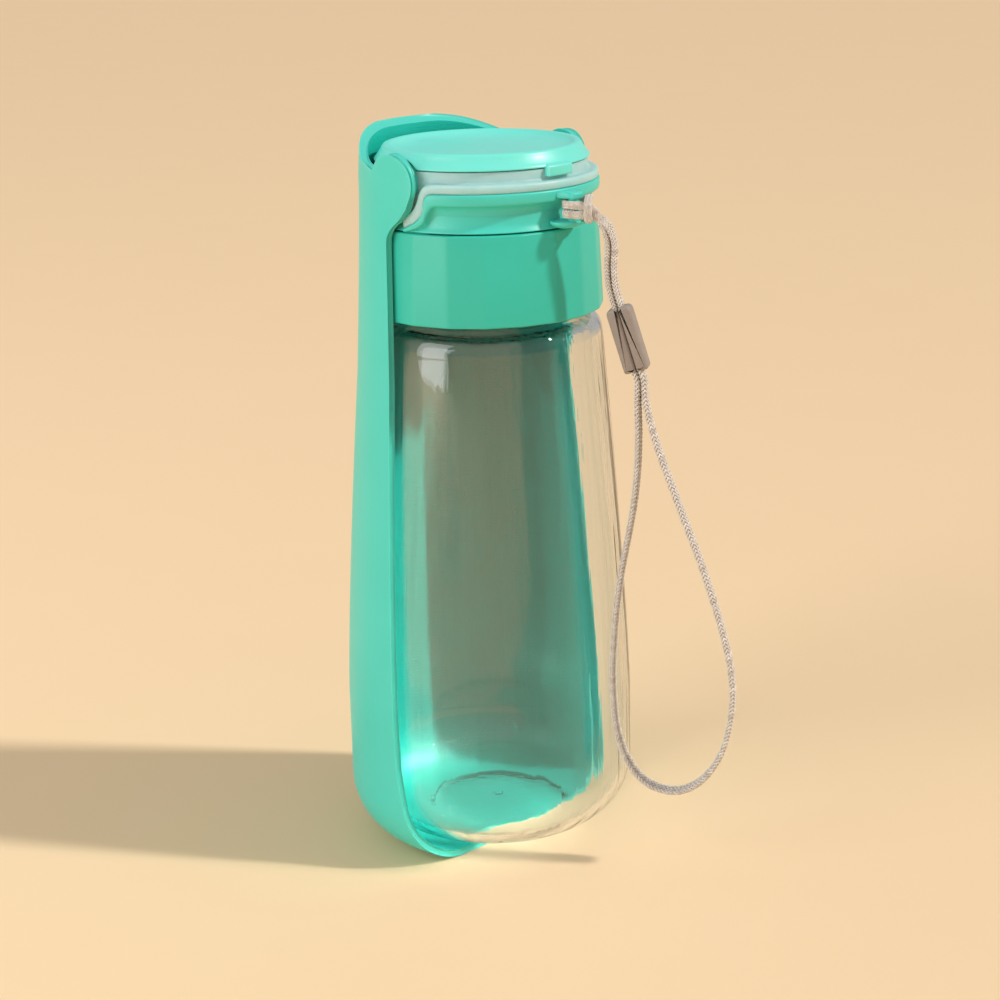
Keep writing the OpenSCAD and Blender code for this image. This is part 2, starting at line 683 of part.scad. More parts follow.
// One half of the clamp, split along the middle of its wide face
module clamp_half(side) {
    r = 2.4;
    color("dimgray") translate(in_plane([clamp_top[0], 0, clamp_top[1]])) rotate([0, 0, strap_deg])
        rotate([0, -clamp_lean, 0]) across(clamp_t / 2) mirror([side > 0 ? 0 : 1, 0]) polygon(concat(
            [[0.02, 0]], arc([clamp_w / 2 - r, -r], r, 90, 0, 6),
            [[clamp_w / 2, -clamp_l + 0.6], [clamp_w / 2 - 0.6, -clamp_l], [0.02, -clamp_l]]));
}

bottle_body();
neck_gasket();
lock_collar();
head_shell();
pour_tube();
seal_skirt();
pivot_oring(-1);  // pivot_oring_left
pivot_oring(1);  // pivot_oring_right
lid_cap();
lid_liner();
lid_plug();
lid_hinge_pin();
trough_shell();
pivot_pin(-1);  // pivot_pin_left
pivot_pin(1);  // pivot_pin_right
strap_hitch();
strap_loop();
clamp_half(-1);  // clamp_half_left
clamp_half(1);  // clamp_half_right
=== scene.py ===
from math import acos, atan2, cos, degrees, exp, hypot, pi, radians, sin, sqrt, tanh

import bmesh
import bpy
import numpy as np
from mathutils import Matrix, Vector
from mathutils.geometry import delaunay_2d_cdt


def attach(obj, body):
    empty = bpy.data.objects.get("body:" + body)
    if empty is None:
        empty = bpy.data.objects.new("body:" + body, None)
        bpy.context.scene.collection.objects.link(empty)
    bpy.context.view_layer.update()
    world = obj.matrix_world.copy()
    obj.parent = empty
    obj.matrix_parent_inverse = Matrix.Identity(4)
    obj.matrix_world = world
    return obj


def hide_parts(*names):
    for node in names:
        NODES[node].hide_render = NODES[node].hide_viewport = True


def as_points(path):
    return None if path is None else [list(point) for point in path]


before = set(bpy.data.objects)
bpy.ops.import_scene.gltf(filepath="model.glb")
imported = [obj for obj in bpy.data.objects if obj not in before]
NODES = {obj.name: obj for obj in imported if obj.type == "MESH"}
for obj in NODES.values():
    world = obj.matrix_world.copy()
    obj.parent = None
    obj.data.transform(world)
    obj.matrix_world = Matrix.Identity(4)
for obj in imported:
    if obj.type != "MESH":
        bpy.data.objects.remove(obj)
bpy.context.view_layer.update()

# Every length below is in millimetres and every height is above the floor; a mesh is made in metres.
MM = 0.001
LENS_MM = 77.68
VIEW_AZIMUTH, VIEW_ELEVATION, VIEW_ROLL = 47.0, 17.06, -1.38
VIEW_DISTANCE, VIEW_TARGET_Z = 635.2, 102.88
VIEW_SHIFT = 0.01

Z_BASE, Z_BELLY, Z_SHOULDER, Z_NECK = 4.9, 45.9, 153.0, 160.3
Z_COLLAR, Z_SEAM, Z_HEAD, Z_FLANGE, Z_PIVOT = 161.55, 186.85, 187.25, 198.05, 200.05
Z_RIM, Z_TUBE, Z_DECK, Z_UPSTAND = 182.3, 183.8, 185.9, 203.25
Z_LID, Z_LID_TOP, Z_LID_PIN, Z_BACK_RIM = 203.85, 208.25, 204.75, 212.35
LUG_Z, ARCH_IN, ARCH_WALL = 169.3, 1.0, 2.4
BOTTLE_R, SHOULDER_R, NECK_R, CORNER_R = 40.9, 33.7, 26.4, 18.0
BOTTLE_WALL, NECK_WALL, TAPER_POWER = 2.2, 2.4, 1.28
COLLAR_LOW_R, COLLAR_TOP_R, COLLAR_BORE_R, COLLAR_LIP_R = 33.9, 32.7, 30.0, 28.9
FACETS, FACET_TURN = 20, 11.0
WAIST_R, FOOT_R, FLANGE_R, UPSTAND_R = 30.5, 31.9, 33.0, 28.4
SEAL_R, SEAL_WALL_R = 32.7, 29.9
SIDE_Y, EAR_IN_Y, EAR_R, TROUGH_TOP_R, HUB_R, SWING_R = 31.4, 31.7, 7.5, 34.8, 6.4, 9.6
EAR_OUT_Y = 34.7
POST_X, POST_LOW, POST_TOP = 36.0, 189.55, 195.55
LID_R, LID_HINGE_X = 30.5, 26.4
PIN_R, ORING_Y = 2.6, 29.3

STRAP_DEG = 33.0
CLAMP_TOP, CLAMP_LEAN, CLAMP_L, CLAMP_W, CLAMP_T = (12.1, 166.1), 17.0, 18.4, 7.0, 5.2
STRAND_GAP = 0.9
LOOP_W, LOOP_T, STRAND_W = 4.2, 1.4, 3.4
HITCH_W, HITCH_T = 2.2, 1.2


def colour(code):
    """Linear colour of an sRGB hex value."""
    parts = [int(code[i:i + 2], 16) / 255 for i in (1, 3, 5)]
    return tuple(c / 12.92 if c <= 0.04045 else ((c + 0.055) / 1.055) ** 2.4 for c in parts) + (1.0,)


def smoothstep(x, low, high):
    t = np.clip((np.asarray(x, float) - low) / (high - low), 0, 1)
    return t * t * (3 - 2 * t)


# Camera: the photograph's view of the whole bottle
def place_camera():
    camera = bpy.data.objects.new("camera", bpy.data.cameras.new("camera"))
    bpy.context.scene.collection.objects.link(camera)
    a, e, roll = radians(VIEW_AZIMUTH), radians(VIEW_ELEVATION), radians(VIEW_ROLL)
    back = Vector((sin(a) * cos(e), -cos(a) * cos(e), sin(e)))
    right = Vector((cos(a), sin(a), 0))
    up = back.cross(right)
    tilted_right = right * cos(roll) + up * sin(roll)
    tilted_up = up * cos(roll) - right * sin(roll)
    turn = Matrix((tilted_right, tilted_up, back)).transposed().to_4x4()
    place = Vector((0, 0, VIEW_TARGET_Z)) + back * VIEW_DISTANCE
    camera.matrix_world = Matrix.Translation(place * MM) @ turn
    camera.data.lens = LENS_MM
    camera.data.shift_x = VIEW_SHIFT
    camera.data.clip_start, camera.data.clip_end = 0.01, 100
    bpy.context.scene.camera = camera


place_camera()


# Materials
def add_node(material, kind, inputs=None, **settings):
    """Adds one node; an input is a value or another node's output."""
    tree = material.node_tree
    made = tree.nodes.new(kind)
    for key, value in settings.items():
        setattr(made, key, value)
    for key, value in (inputs or {}).items():
        if isinstance(value, bpy.types.NodeSocket):
            tree.links.new(value, made.inputs[key])
        else:
            made.inputs[key].default_value = value
    return made


def new_material(name, **shader):
    """A material with one Principled shader; the shader's own sockets take the constants."""
    material = bpy.data.materials.new(name)
    material.use_nodes = True
    material.node_tree.nodes.clear()
    surface = add_node(material, "ShaderNodeBsdfPrincipled", {k.replace("_", " "): v for k,
                                                              v in shader.items()})
    out = add_node(material, "ShaderNodeOutputMaterial")
    material.node_tree.links.new(surface.outputs[0], out.inputs["Surface"])
    return material, surface, out


def object_point(material, scale=(1, 1, 1)):
    place = add_node(material, "ShaderNodeTexCoord")
    return add_node(material, "ShaderNodeMapping", {"Vector": place.outputs["Object"],
                                                    "Scale": scale}).outputs[0]


def noise(material, size_mm, detail=2.0, scale=(1, 1, 1), roughness=0.5):
    """Noise whose features are about size_mm across."""
    return add_node(material, "ShaderNodeTexNoise", {
        "Vector": object_point(material, scale), "Scale": 1 / (size_mm * MM), "Detail": detail,
        "Roughness": roughness}).outputs[0]


def tinted(material, surface, factor, dark, light):
    mixed = add_node(material, "ShaderNodeMix", {0: factor}, data_type="RGBA")
    mixed.inputs[6].default_value, mixed.inputs[7].default_value = colour(dark), colour(light)
    material.node_tree.links.new(mixed.outputs[2], surface.inputs["Base Color"])


def satin_polypropylene(name, dark, light, roughness, grain_mm=0.28, grain=0.10):
    """Moulded polypropylene from a spark-eroded mould: an even, slightly milky mint with a broad soft gloss
    and a
    grain of about a quarter of a millimetre, drawn a little coarser than the real one so that it shows."""
    material, surface, _ = new_material(name, IOR=1.49, Subsurface_Weight=0.12, Subsurface_Scale=0.0015)
    surface.inputs["Subsurface Radius"].default_value = (0.6, 1.0, 0.85)
    clouds = noise(material, 18, 3)
    tinted(material, surface, clouds, dark, light)
    fine = noise(material, grain_mm, 2)
    bump = add_node(material, "ShaderNodeBump", {"Height": fine, "Strength": grain, "Distance": 0.0001})
    material.node_tree.links.new(bump.outputs[0], surface.inputs["Normal"])
    spread = add_node(material, "ShaderNodeMapRange", {"Value": noise(material, 6, 3),
                                                       "To Min": roughness - 0.04,
                                                       "To Max": roughness + 0.05})
    material.node_tree.links.new(spread.outputs[0], surface.inputs["Roughness"])
    return material


def dotted_polypropylene(name, dark, light, roughness):
    """The trough's inside, moulded with rows of tiny dots half a millimetre across, so that water runs off.
    The colours it is given are darker than the outside's: painted shade for the inside of the trough."""
    material, surface, _ = new_material(name, IOR=1.49, Subsurface_Weight=0.12, Subsurface_Scale=0.0015)
    surface.inputs["Subsurface Radius"].default_value = (0.6, 1.0, 0.85)
    surface.inputs["Roughness"].default_value = roughness
    tinted(material, surface, noise(material, 18, 3), dark, light)
    dots = add_node(material, "ShaderNodeTexVoronoi", {"Vector": object_point(material), "Scale": 1 / 0.00095,
                                                       "Randomness": 0.35})
    raised = add_node(material, "ShaderNodeMapRange", {"Value": dots.outputs["Distance"], "From Min": 0.15,
                                                       "From Max": 0.45, "To Min": 1, "To Max": 0})
    bump = add_node(material, "ShaderNodeBump", {"Height": raised.outputs[0], "Strength": 0.35,
                                                 "Distance": 0.00012})
    material.node_tree.links.new(bump.outputs[0], surface.inputs["Normal"])
    return material


def clear_copolyester():
    """Injection-moulded clear copolyester: glassy, colourless, with faint flow lines along the bottle that
    bend
    what is seen through it. Lamps reach the inside through it."""
    material, surface, out = new_material(
        "clear_copolyester", Base_Color=colour("#FBFDFD"), Roughness=0.015, IOR=1.54, Transmission_Weight=1.0)
    flow = noise(material, 3.2, 3, scale=(1, 1, 0.035))
    bump = add_node(material, "ShaderNodeBump", {"Height": flow, "Strength": 0.25, "Distance": 0.0003})
    material.node_tree.links.new(bump.outputs[0], surface.inputs["Normal"])
    path = add_node(material, "ShaderNodeLightPath")
    through = add_node(material, "ShaderNodeBsdfTransparent", {"Color": colour("#F3F7F6")})
    both = add_node(material, "ShaderNodeMixShader", {
        0: path.outputs["Is Shadow Ray"], 1: surface.outputs[0], 2: through.outputs[0]})
    material.node_tree.links.new(both.outputs[0], out.inputs["Surface"])
    return material


def milky_silicone():
    """Translucent food-grade silicone, pressed: pale aqua-white where light passes it, with a soft dull
    gloss and
    specks of dust that it holds."""
    material, surface, _ = new_material(
        "milky_silicone", Roughness=0.42, IOR=1.42, Subsurface_Weight=0.55, Subsurface_Scale=0.004,
        Transmission_Weight=0.18)
    surface.inputs["Subsurface Radius"].default_value = (0.9, 1.0, 1.0)
    tinted(material, surface, noise(material, 5, 3), "#A6DEDC", "#C6ECEA")
    dust = add_node(material, "ShaderNodeTexVoronoi", {"Vector": object_point(material), "Scale": 1 / 0.0024})
    specks = add_node(material, "ShaderNodeMapRange", {"Value": dust.outputs["Distance"], "From Min": 0.05,
                                                       "From Max": 0.1, "To Min": 0.2, "To Max": 0})
    bump = add_node(material, "ShaderNodeBump", {"Height": specks.outputs[0], "Strength": 0.2,
                                                 "Distance": 0.0002})
    material.node_tree.links.new(bump.outputs[0], surface.inputs["Normal"])
    return material


def natural_polypropylene():
    """Unpigmented polypropylene: greyish white, waxy and a little translucent, with a fine mould grain."""
    material, surface, _ = new_material(
        "natural_polypropylene", Roughness=0.36, IOR=1.49, Subsurface_Weight=0.35, Subsurface_Scale=0.003)
    tinted(material, surface, noise(material, 9, 3), "#DDE2E1", "#EEF1F0")
    bump = add_node(material, "ShaderNodeBump", {"Height": noise(material, 0.3, 2), "Strength": 0.06,
                                                 "Distance": 0.0001})
    material.node_tree.links.new(bump.outputs[0], surface.inputs["Normal"])
    return material


def nitrile_rubber():
    """Moulded black nitrile rubber: dull, with faint grey bloom."""
    material, surface, _ = new_material("nitrile_rubber", Roughness=0.6, IOR=1.52)
    tinted(material, surface, noise(material, 0.8, 4), "#151617", "#2C2D2E")
    return material


def turned_stainless():
    """Turned stainless steel pin: bright, with fine rings 0.12 mm apart round the Y axis."""
    material, surface, _ = new_material("turned_stainless", Base_Color=colour("#C9CAC8"), Metallic=1.0)
    rings = noise(material, 0.12, 2, scale=(0.02, 1, 0.02))
    spread = add_node(material, "ShaderNodeMapRange", {"Value": rings, "To Min": 0.2, "To Max": 0.34})
    material.node_tree.links.new(spread.outputs[0], surface.inputs["Roughness"])
    return material


def polyester_yarn():
    """Braided filament polyester: a warm silver-grey yarn with a silky sheen and filaments 0.09 mm apart that
    run along each strand."""
    material, surface, _ = new_material("polyester_yarn", Roughness=0.5, IOR=1.5, Sheen_Weight=0.35,
                                        Sheen_Roughness=0.35)
    surface.inputs["Sheen Tint"].default_value = colour("#F2EADF")
    along = add_node(material, "ShaderNodeUVMap", uv_map="strand")
    stretch = add_node(material, "ShaderNodeMapping", {"Vector": along.outputs[0], "Scale": (7, 0.6, 1)})
    fibres = add_node(material, "ShaderNodeTexNoise", {"Vector": stretch.outputs[0], "Scale": 1.0,
                                                       "Detail": 3.0})
    spread = add_node(material, "ShaderNodeMapRange", {"Value": fibres.outputs[0], "From Min": 0.3,
                                                       "From Max": 0.7})
    tinted(material, surface, spread.outputs[0], "#B5AA9F", "#FBF4EC")
    bump = add_node(material, "ShaderNodeBump", {"Height": fibres.outputs[0], "Strength": 0.5,
                                                 "Distance": 0.00006})
    material.node_tree.links.new(bump.outputs[0], surface.inputs["Normal"])
    return material


def yarn_shade():
    """Inside of the braid, seen only between the strands: the same yarn in shade, a dark warm brown-grey."""
    material, surface, _ = new_material("yarn_shade", Roughness=0.8)
    tinted(material, surface, noise(material, 0.4, 2), "#241A14", "#3A2D25")
    return material


def grey_elastomer():
    """Moulded soft thermoplastic: warm mid grey, matt, with a fine grain and a faintly uneven tone."""
    material, surface, _ = new_material("grey_elastomer", Roughness=0.48, IOR=1.5)
    tinted(material, surface, noise(material, 3, 4), "#8C8078", "#A2968C")
    bump = add_node(material, "ShaderNodeBump", {"Height": noise(material, 0.25, 2), "Strength": 0.15,
                                                 "Distance": 0.0001})
    material.node_tree.links.new(bump.outputs[0], surface.inputs["Normal"])
    return material


MINT = satin_polypropylene("mint_polypropylene", "#2DBBA6", "#36C4B0", 0.42)
MINT_SMOOTH = satin_polypropylene("mint_polypropylene_smooth", "#43CABA", "#4DD2C3", 0.38, grain=0.05)
# The lid's mint is lighter and a little more cyan than the other parts: partly the lid's own tint, partly
# painted light for its top, which is lit from above.
MINT_LID = satin_polypropylene("mint_polypropylene_lid", "#6BE0D2", "#76E6D9", 0.34, grain=0.05)
# The trough's inside is the same plastic as its outside but takes a darker mint: painted shade for the inside
# of the trough.
MINT_DOTTED_SHADED = dotted_polypropylene("mint_polypropylene_dotted_painted_shade", "#18BCAA", "#21C4B3", 0.4)
CLEAR = clear_copolyester()
SILICONE = milky_silicone()
NATURAL = natural_polypropylene()
RUBBER = nitrile_rubber()
STEEL = turned_stainless()
YARN = polyester_yarn()
YARN_SHADE = yarn_shade()
CLAMP_GREY = grey_elastomer()


# Outlines and shapes; a shape is a list of points and a list of faces
def bend(p, q, s, n):
    """Points of a quadratic curve."""
    p, q, s = np.array(p, float), np.array(q, float), np.array(s, float)
    return [tuple((1 - t) ** 2 * p + 2 * t * (1 - t) * q + t * t * s) for t in np.linspace(0, 1, n + 1)]


def arc(centre, r, a, b, n):
    return [(centre[0] + r * cos(radians(t)), centre[1] + r * sin(radians(t))) for t in np.linspace(a, b,
        n + 1)]


def softened(corners, steps=4):
    """A closed outline whose corners (x, y, size) are rounded from that far before them to that far after."""
    out = []
    for i, (x, y, size) in enumerate(corners):
        p = Vector((x, y))
        if size <= 0:
            out.append((x, y))
            continue
        before = Vector(corners[i - 1][:2]) - p
        after = Vector(corners[(i + 1) % len(corners)][:2]) - p
        reach = min(size, before.length * 0.49, after.length * 0.49)
        out += bend(p + before.normalized() * reach, p, p + after.normalized() * reach, steps)
    return out


def joined(*shapes):
    points, faces = [], []
    for more, rings in shapes:
        start = len(points)
        points += [tuple(p) for p in more]
        faces += [tuple(start + i for i in f) for f in rings]
    return points, faces


def turned(outline, steps, shape=None):
    """A closed outline of r and z turned round the Z axis. shape(r, z, angle) may move a point."""
    points, faces, rows = [], [], []
    for r, z in outline:
        if r < 1e-6:
            points.append((0.0, 0.0, z))
            rows.append([len(points) - 1] * steps)
            continue
        row = []
        for k in range(steps):
            angle = 2 * pi * k / steps
            rr, zz = shape(r, z, angle) if shape else (r, z)
            row.append(len(points))
            points.append((rr * cos(angle), rr * sin(angle), zz))
        rows.append(row)
    for low, high in zip(rows, rows[1:] + rows[:1]):
        for k in range(steps):
            n = (k + 1) % steps
            ring = list(dict.fromkeys((low[k], low[n], high[n], high[k])))
            if len(ring) > 2:
                faces.append(tuple(ring))
    return points, faces


def moved(shape, move):
    points, faces = shape
    return [move(p) for p in points], faces


def bar_on_y(outline, x, z, steps=48, scale_x=1.0):
    """An outline of radius and y turned round the line through x and z that runs along Y."""
    return moved(turned(outline, steps), lambda p: (x + p[0] * scale_x, p[2], z + p[1]))


def prism(outline, low, high, edge, steps=3):
    """An outline in X and Y made solid between two heights, with rounded upper and lower edges."""
    pts = np.array(outline, float)
    ahead, behind = np.roll(pts, -1, 0) - pts, pts - np.roll(pts, 1, 0)
    ahead /= np.linalg.norm(ahead, axis=1)[:, None]
    behind /= np.linalg.norm(behind, axis=1)[:, None]
    inward = np.stack([-(ahead + behind)[:, 1], (ahead + behind)[:, 0]], 1)
    inward /= np.maximum(np.linalg.norm(inward, axis=1), 1e-6)[:, None]
    area = 0.5 * np.sum(pts[:, 0] * np.roll(pts[:, 1], -1) - np.roll(pts[:, 0], -1) * pts[:, 1])
    inward *= 1 if area > 0 else -1
    levels = [(edge * (1 - sin(t)), low + edge * (1 - cos(t))) for t in np.linspace(0, pi / 2, steps + 1)]
    levels += [(d, high + low - z) for d, z in reversed(levels)]
    points, faces, n = [], [], len(pts)
    for d, z in levels:
        points += [(x, y, z) for x, y in pts + inward * d]
    for k in range(len(levels) - 1):
        faces += [(k * n + i, k * n + (i + 1) % n, (k + 1) * n + (i + 1) % n,
                   (k + 1) * n + i) for i in range(n)]
    faces += [tuple(range(n - 1, -1, -1)), tuple((len(levels) - 1) * n + i for i in range(n))]
    return points, faces


def banded(stations):
    """A closed section carried through stations, each a list of the same number of points, with closed
    ends."""
    n = len(stations[0])
    points = [tuple(p) for ring in stations for p in ring]
    faces = []
    for k in range(len(stations) - 1):
        faces += [(k * n + i, k * n + (i + 1) % n, (k + 1) * n + (i + 1) % n,
                   (k + 1) * n + i) for i in range(n)]
    faces += [tuple(range(n)), tuple((len(stations) - 1) * n + i for i in range(n - 1, -1, -1))]
    return points, faces


def make_piece(name, shape, materials, body, replaces=(), sharp=40, by_face=None):
    """Makes the mesh in metres, turns its faces outward, and sets it on its body."""
    points, faces = shape
    mesh = bpy.data.meshes.new(name)
    mesh.from_pydata([tuple(c * MM for c in p) for p in points], [], faces)
    work = bmesh.new()
    work.from_mesh(mesh)
    bmesh.ops.recalc_face_normals(work, faces=work.faces)
    work.to_mesh(mesh)
    work.free()
    for material in materials:
        mesh.materials.append(material)
    if by_face is not None:
        mesh.polygons.foreach_set("material_index", by_face)
    mesh.polygons.foreach_set("use_smooth", [True] * len(mesh.polygons))
    mesh.set_sharp_from_angle(angle=radians(sharp))
    mesh.validate()
    piece = bpy.data.objects.new(name, mesh)
    bpy.context.scene.collection.objects.link(piece)
    settle(piece, body, replaces)
    return piece


def settle(piece, body, replaces):
    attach(piece, body)
    if replaces:
        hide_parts(*replaces)


# Hand strap
ALONG = np.array((cos(radians(STRAP_DEG)), sin(radians(STRAP_DEG)), 0))
ACROSS = np.array((-sin(radians(STRAP_DEG)), cos(radians(STRAP_DEG)), 0))
UPRIGHT = np.array((0, 0, 1.0))


def in_strap_plane(s, n, z):
    """A point of the upright plane that the strap hangs in: s away from the post, n across the plane."""
    return np.array((POST_X, 0, z)) + s * ALONG + n * ACROSS


def at_clamp(u, v):
    lean = radians(CLAMP_LEAN)
    return CLAMP_TOP[0] + u * cos(lean) - v * sin(lean), CLAMP_TOP[1] + u * sin(lean) + v * cos(lean)


def clamp_point(u, v):
    s, z = at_clamp(u, v)
    return (s, 0, z)


# Away from the post, across the plane, height, and how the flat side turns:
# 0 with its width upright, 1 across the plane, -1 away from the post
HITCH_ROUTE = [
    (9.5, -0.1, 172.4, 1), (9.1, -0.2, 177.4, 1), (9.4, -0.4, 182.4, 1), (8.9, -0.8, 186.7, 0.7),
    (7.4, -1.3, 190.2, 0.3), (5.4, -1.8, 192.9, 0), (3, -2.3, 193.9, 0), (0, -2.5, 194.1, 0),
    (-1.8, -1.8, 194.1, 0), (-2.5, 0, 194.1, 0), (-1.8, 1.8, 194.1, 0), (0, 2.5, 194.1, 0),
    (2.4, 2.5, 194.7, 0), (4, 1, 195.7, -0.5), (4.5, -1.2, 196.2, -1), (4.6, -3, 195.2, -1),
    (4.6, -3.7, 192.8, -1), (4.6, -3.1, 190.4, -1), (4.5, -1.2, 189.8, -1), (4, 1, 190.4, -0.5),
    (2.4, 2.5, 191.1, 0), (0, 2.5, 191.6, 0), (-1.8, 1.8, 191.6, 0), (-2.5, 0, 191.6, 0),
    (-1.8, -1.8, 191.6, 0), (0, -2.5, 191.6, 0), (3, -2.3, 191.4, 0), (5.6, -1.7, 191.2, 0),
    (8.1, -1.1, 189.9, 0.4), (10.3, -0.6, 187.1, 0.8), (11.3, 0, 182.4, 1), (11, 0.1, 177.4, 1),
    (11.3, 0.1, 172.4, 1),
]
LOOP_ROUTE = [
    (17.4, 139.5), (17.6, 130.5), (17.3, 120.5), (16.3, 110.4), (14.6, 100.3), (12.7, 90.2),
    (11.3, 80.1), (10.4, 69.9), (9.9, 59.8), (10.2, 49.5), (11.2, 40.9), (13.6, 33.2), (17.5, 27.3),
    (22.6, 24.1), (28.7, 23.5), (34.1, 26), (38.5, 30.8), (41.9, 37.5), (43.8, 45.7), (44.5, 54.9),
    (43.6, 64), (41.5, 73.2), (38.4, 83.8), (34.5, 95.4), (30, 107.4), (25.5, 119.5), (21.8, 130.5),
    (19.7, 139.5),
]


def wide_direction(turn):
    if turn >= 0:
        return (1 - turn) * UPRIGHT + turn * ACROSS
    return (1 + turn) * UPRIGHT - turn * ALONG


def smooth_rows(rows, step):
    """Rows of numbers, the first three a point in millimetres, on a smooth curve every step millimetres."""
    rows = np.array(rows, float)
    ends = np.vstack([2 * rows[0] - rows[1], rows, 2 * rows[-1] - rows[-2]])
    fine = []
    for i in range(1, len(ends) - 2):
        a, b, c, d = ends[i - 1:i + 3]
        for t in np.linspace(0, 1, 12, endpoint=False):
            fine.append(0.5 * (2 * b + (c - a) * t + (2 * a - 5 * b + 4 * c - d) * t ** 2
                               + (3 * b - a - 3 * c + d) * t ** 3))
    fine = np.array(fine + [rows[-1]])
    run = np.concatenate([[0], np.cumsum(np.linalg.norm(np.diff(fine[:, :3], axis=0), axis=1))])
    at = np.linspace(0, run[-1], max(int(run[-1] / step), 8))
    return np.stack([np.interp(at, run, column) for column in fine.T], 1), at


def stadium(share, width, thick):
    """Point and outward normal at a share of the way round a flat section with round ends."""
    flat, radius = width - thick, thick / 2
    around = 2 * flat + 2 * pi * radius
    p = (share % 1.0) * around
    side = np.where(p < flat, 0, np.where(p < flat + pi * radius, 1, np.where(p < 2 * flat + pi * radius, 2,
        3)))
    turn_1 = (p - flat) / radius
    turn_3 = (p - 2 * flat - pi * radius) / radius
    x = np.choose(side, [-flat / 2 + p, flat / 2 + radius * np.sin(turn_1),
                         flat / 2 - (p - flat - pi * radius), -flat / 2 - radius * np.sin(turn_3)])
    y = np.choose(side, [radius + 0 * p, radius * np.cos(turn_1), -radius + 0 * p, -radius * np.cos(turn_3)])
    nx = np.choose(side, [0 * p, np.sin(turn_1), 0 * p, -np.sin(turn_3)])
    ny = np.choose(side, [1 + 0 * p, np.cos(turn_1), -1 + 0 * p, -np.cos(turn_3)])
    return x, y, nx, ny


BRAID_STRANDS = 10      # in each direction
BRAID_TILT = 0.855      # how far a strand goes round for each millimetre along
STRAND_STEP = 0.5
STRAND_SIDES = 5


def braid(rows, step=STRAND_STEP):
    """A flat braid along rows of point, wide direction, width and thickness. Strands of the two directions
    pass
    over each other in columns, and a plain core closes the gaps between them."""
    rows, at = smooth_rows(rows, step)
    centre, wide, width, thick = rows[:, :3], rows[:, 3:6], rows[:, 6], rows[:, 7]
    tangent = np.gradient(centre, axis=0)
    tangent /= np.linalg.norm(tangent, axis=1)[:, None]
    wide = wide - np.sum(wide * tangent, 1)[:, None] * tangent
    wide /= np.linalg.norm(wide, axis=1)[:, None]
    flat = np.cross(tangent, wide)
    yarn_t = thick * 0.27
    around = 2 * (width - thick) + pi * thick
    turning = np.concatenate([[0], np.cumsum(np.diff(at) * BRAID_TILT / around[1:])])
    points, faces, uvs, cores = [], [], [], 0
    sides = np.arange(STRAND_SIDES) * 2 * pi / STRAND_SIDES
    n = len(rows)

    def tube(rings, closed_uv):
        start, count = len(points), rings.shape[1]
        points.extend(map(tuple, rings.reshape(-1, 3)))
        uvs.extend(closed_uv)
        for k in range(n - 1):
            a, b = start + k * count, start + (k + 1) * count
            faces.extend((a + i, a + (i + 1) % count, b + (i + 1) % count, b + i) for i in range(count))
        faces.append(tuple(start + i for i in range(count)))
        faces.append(tuple(start + (n - 1) * count + i for i in range(count)))

    shares = np.linspace(0, 1, 16, endpoint=False)
    core = np.zeros((n, 16, 3))
    for k, share in enumerate(shares):
        x, y, _, _ = stadium(np.full(n, share), width - 2.6 * yarn_t, thick - 2.6 * yarn_t)
        core[:, k] = centre + x[:, None] * wide + y[:, None] * flat
    tube(core, [(0, 0)] * (n * 16))
    cores = len(faces)
    for direction in (1, -1):
        for strand in range(BRAID_STRANDS):
            share = (strand + 0.25) / BRAID_STRANDS + direction * turning
            x, y, nx, ny = stadium(share, width - yarn_t, thick - yarn_t)
            weave = np.tanh(2.2 * np.cos(pi / 2 * (2 * BRAID_STRANDS * share - 0.5)))
            lift = direction * weave * yarn_t * 0.5
            middle = centre + (x + nx * lift)[:, None] * wide + (y + ny * lift)[:, None] * flat
            out = nx[:, None] * wide + ny[:, None] * flat
            run = np.gradient(middle, axis=0)
            run /= np.linalg.norm(run, axis=1)[:, None]
            beside = np.cross(run, out)
            beside /= np.linalg.norm(beside, axis=1)[:, None]
            yarn_w = around / BRAID_STRANDS * 0.58
            ring = (middle[:, None] + (yarn_w / 2)[:, None, None] * np.cos(sides)[None, :, None] * beside[:,
                None]
                    + (yarn_t / 2)[:, None, None] * np.sin(sides)[None, :, None] * out[:, None])
            tube(ring, [(k / STRAND_SIDES, s) for s in at for k in range(STRAND_SIDES)])
    by_face = np.ones(len(faces), int)
    by_face[:cores] = 0
    return (points, faces), uvs, by_face, centre


def make_braid(name, rows, node):
    shape, uvs, by_face, centre = braid(rows)
    piece = make_piece(name, shape, [YARN_SHADE, YARN], "root", [node], sharp=180, by_face=by_face)
    layer = piece.data.uv_layers.new(name="strand")
    ends = np.zeros(len(piece.data.loops), int)
    piece.data.loops.foreach_get("vertex_index", ends)
    layer.data.foreach_set("uv", np.array(uvs, float)[ends].ravel())
    return piece, centre * MM


def hitch_rows():
    route = [(*clamp_point(-STRAND_GAP, -4), 1), (*clamp_point(-STRAND_GAP, 0), 1),
             (*clamp_point(-STRAND_GAP, 3), 1)] + HITCH_ROUTE
    route += [(*clamp_point(STRAND_GAP, v), 1) for v in (3, 0, -4)]
    rows = []
    for s, n, z, turn in route:
        ease = max(turn, 0)
        rows.append((*in_strap_plane(s, n, z), *wide_direction(turn), HITCH_W + (STRAND_W - HITCH_W) * ease,
                     HITCH_T + (LOOP_T - HITCH_T) * ease))
    return rows


def loop_rows():
    route = [at_clamp(-STRAND_GAP, v) for v in (4 - CLAMP_L, -CLAMP_L, -CLAMP_L - 3)] + LOOP_ROUTE
    route += [at_clamp(STRAND_GAP, v) for v in (-CLAMP_L - 3, -CLAMP_L, 4 - CLAMP_L)]
    return [(*in_strap_plane(s, 0, z), *ACROSS, LOOP_W, LOOP_T) for s, z in route]


def length_of(path):
    return float(np.sum(np.linalg.norm(np.diff(path, axis=0), axis=1)))


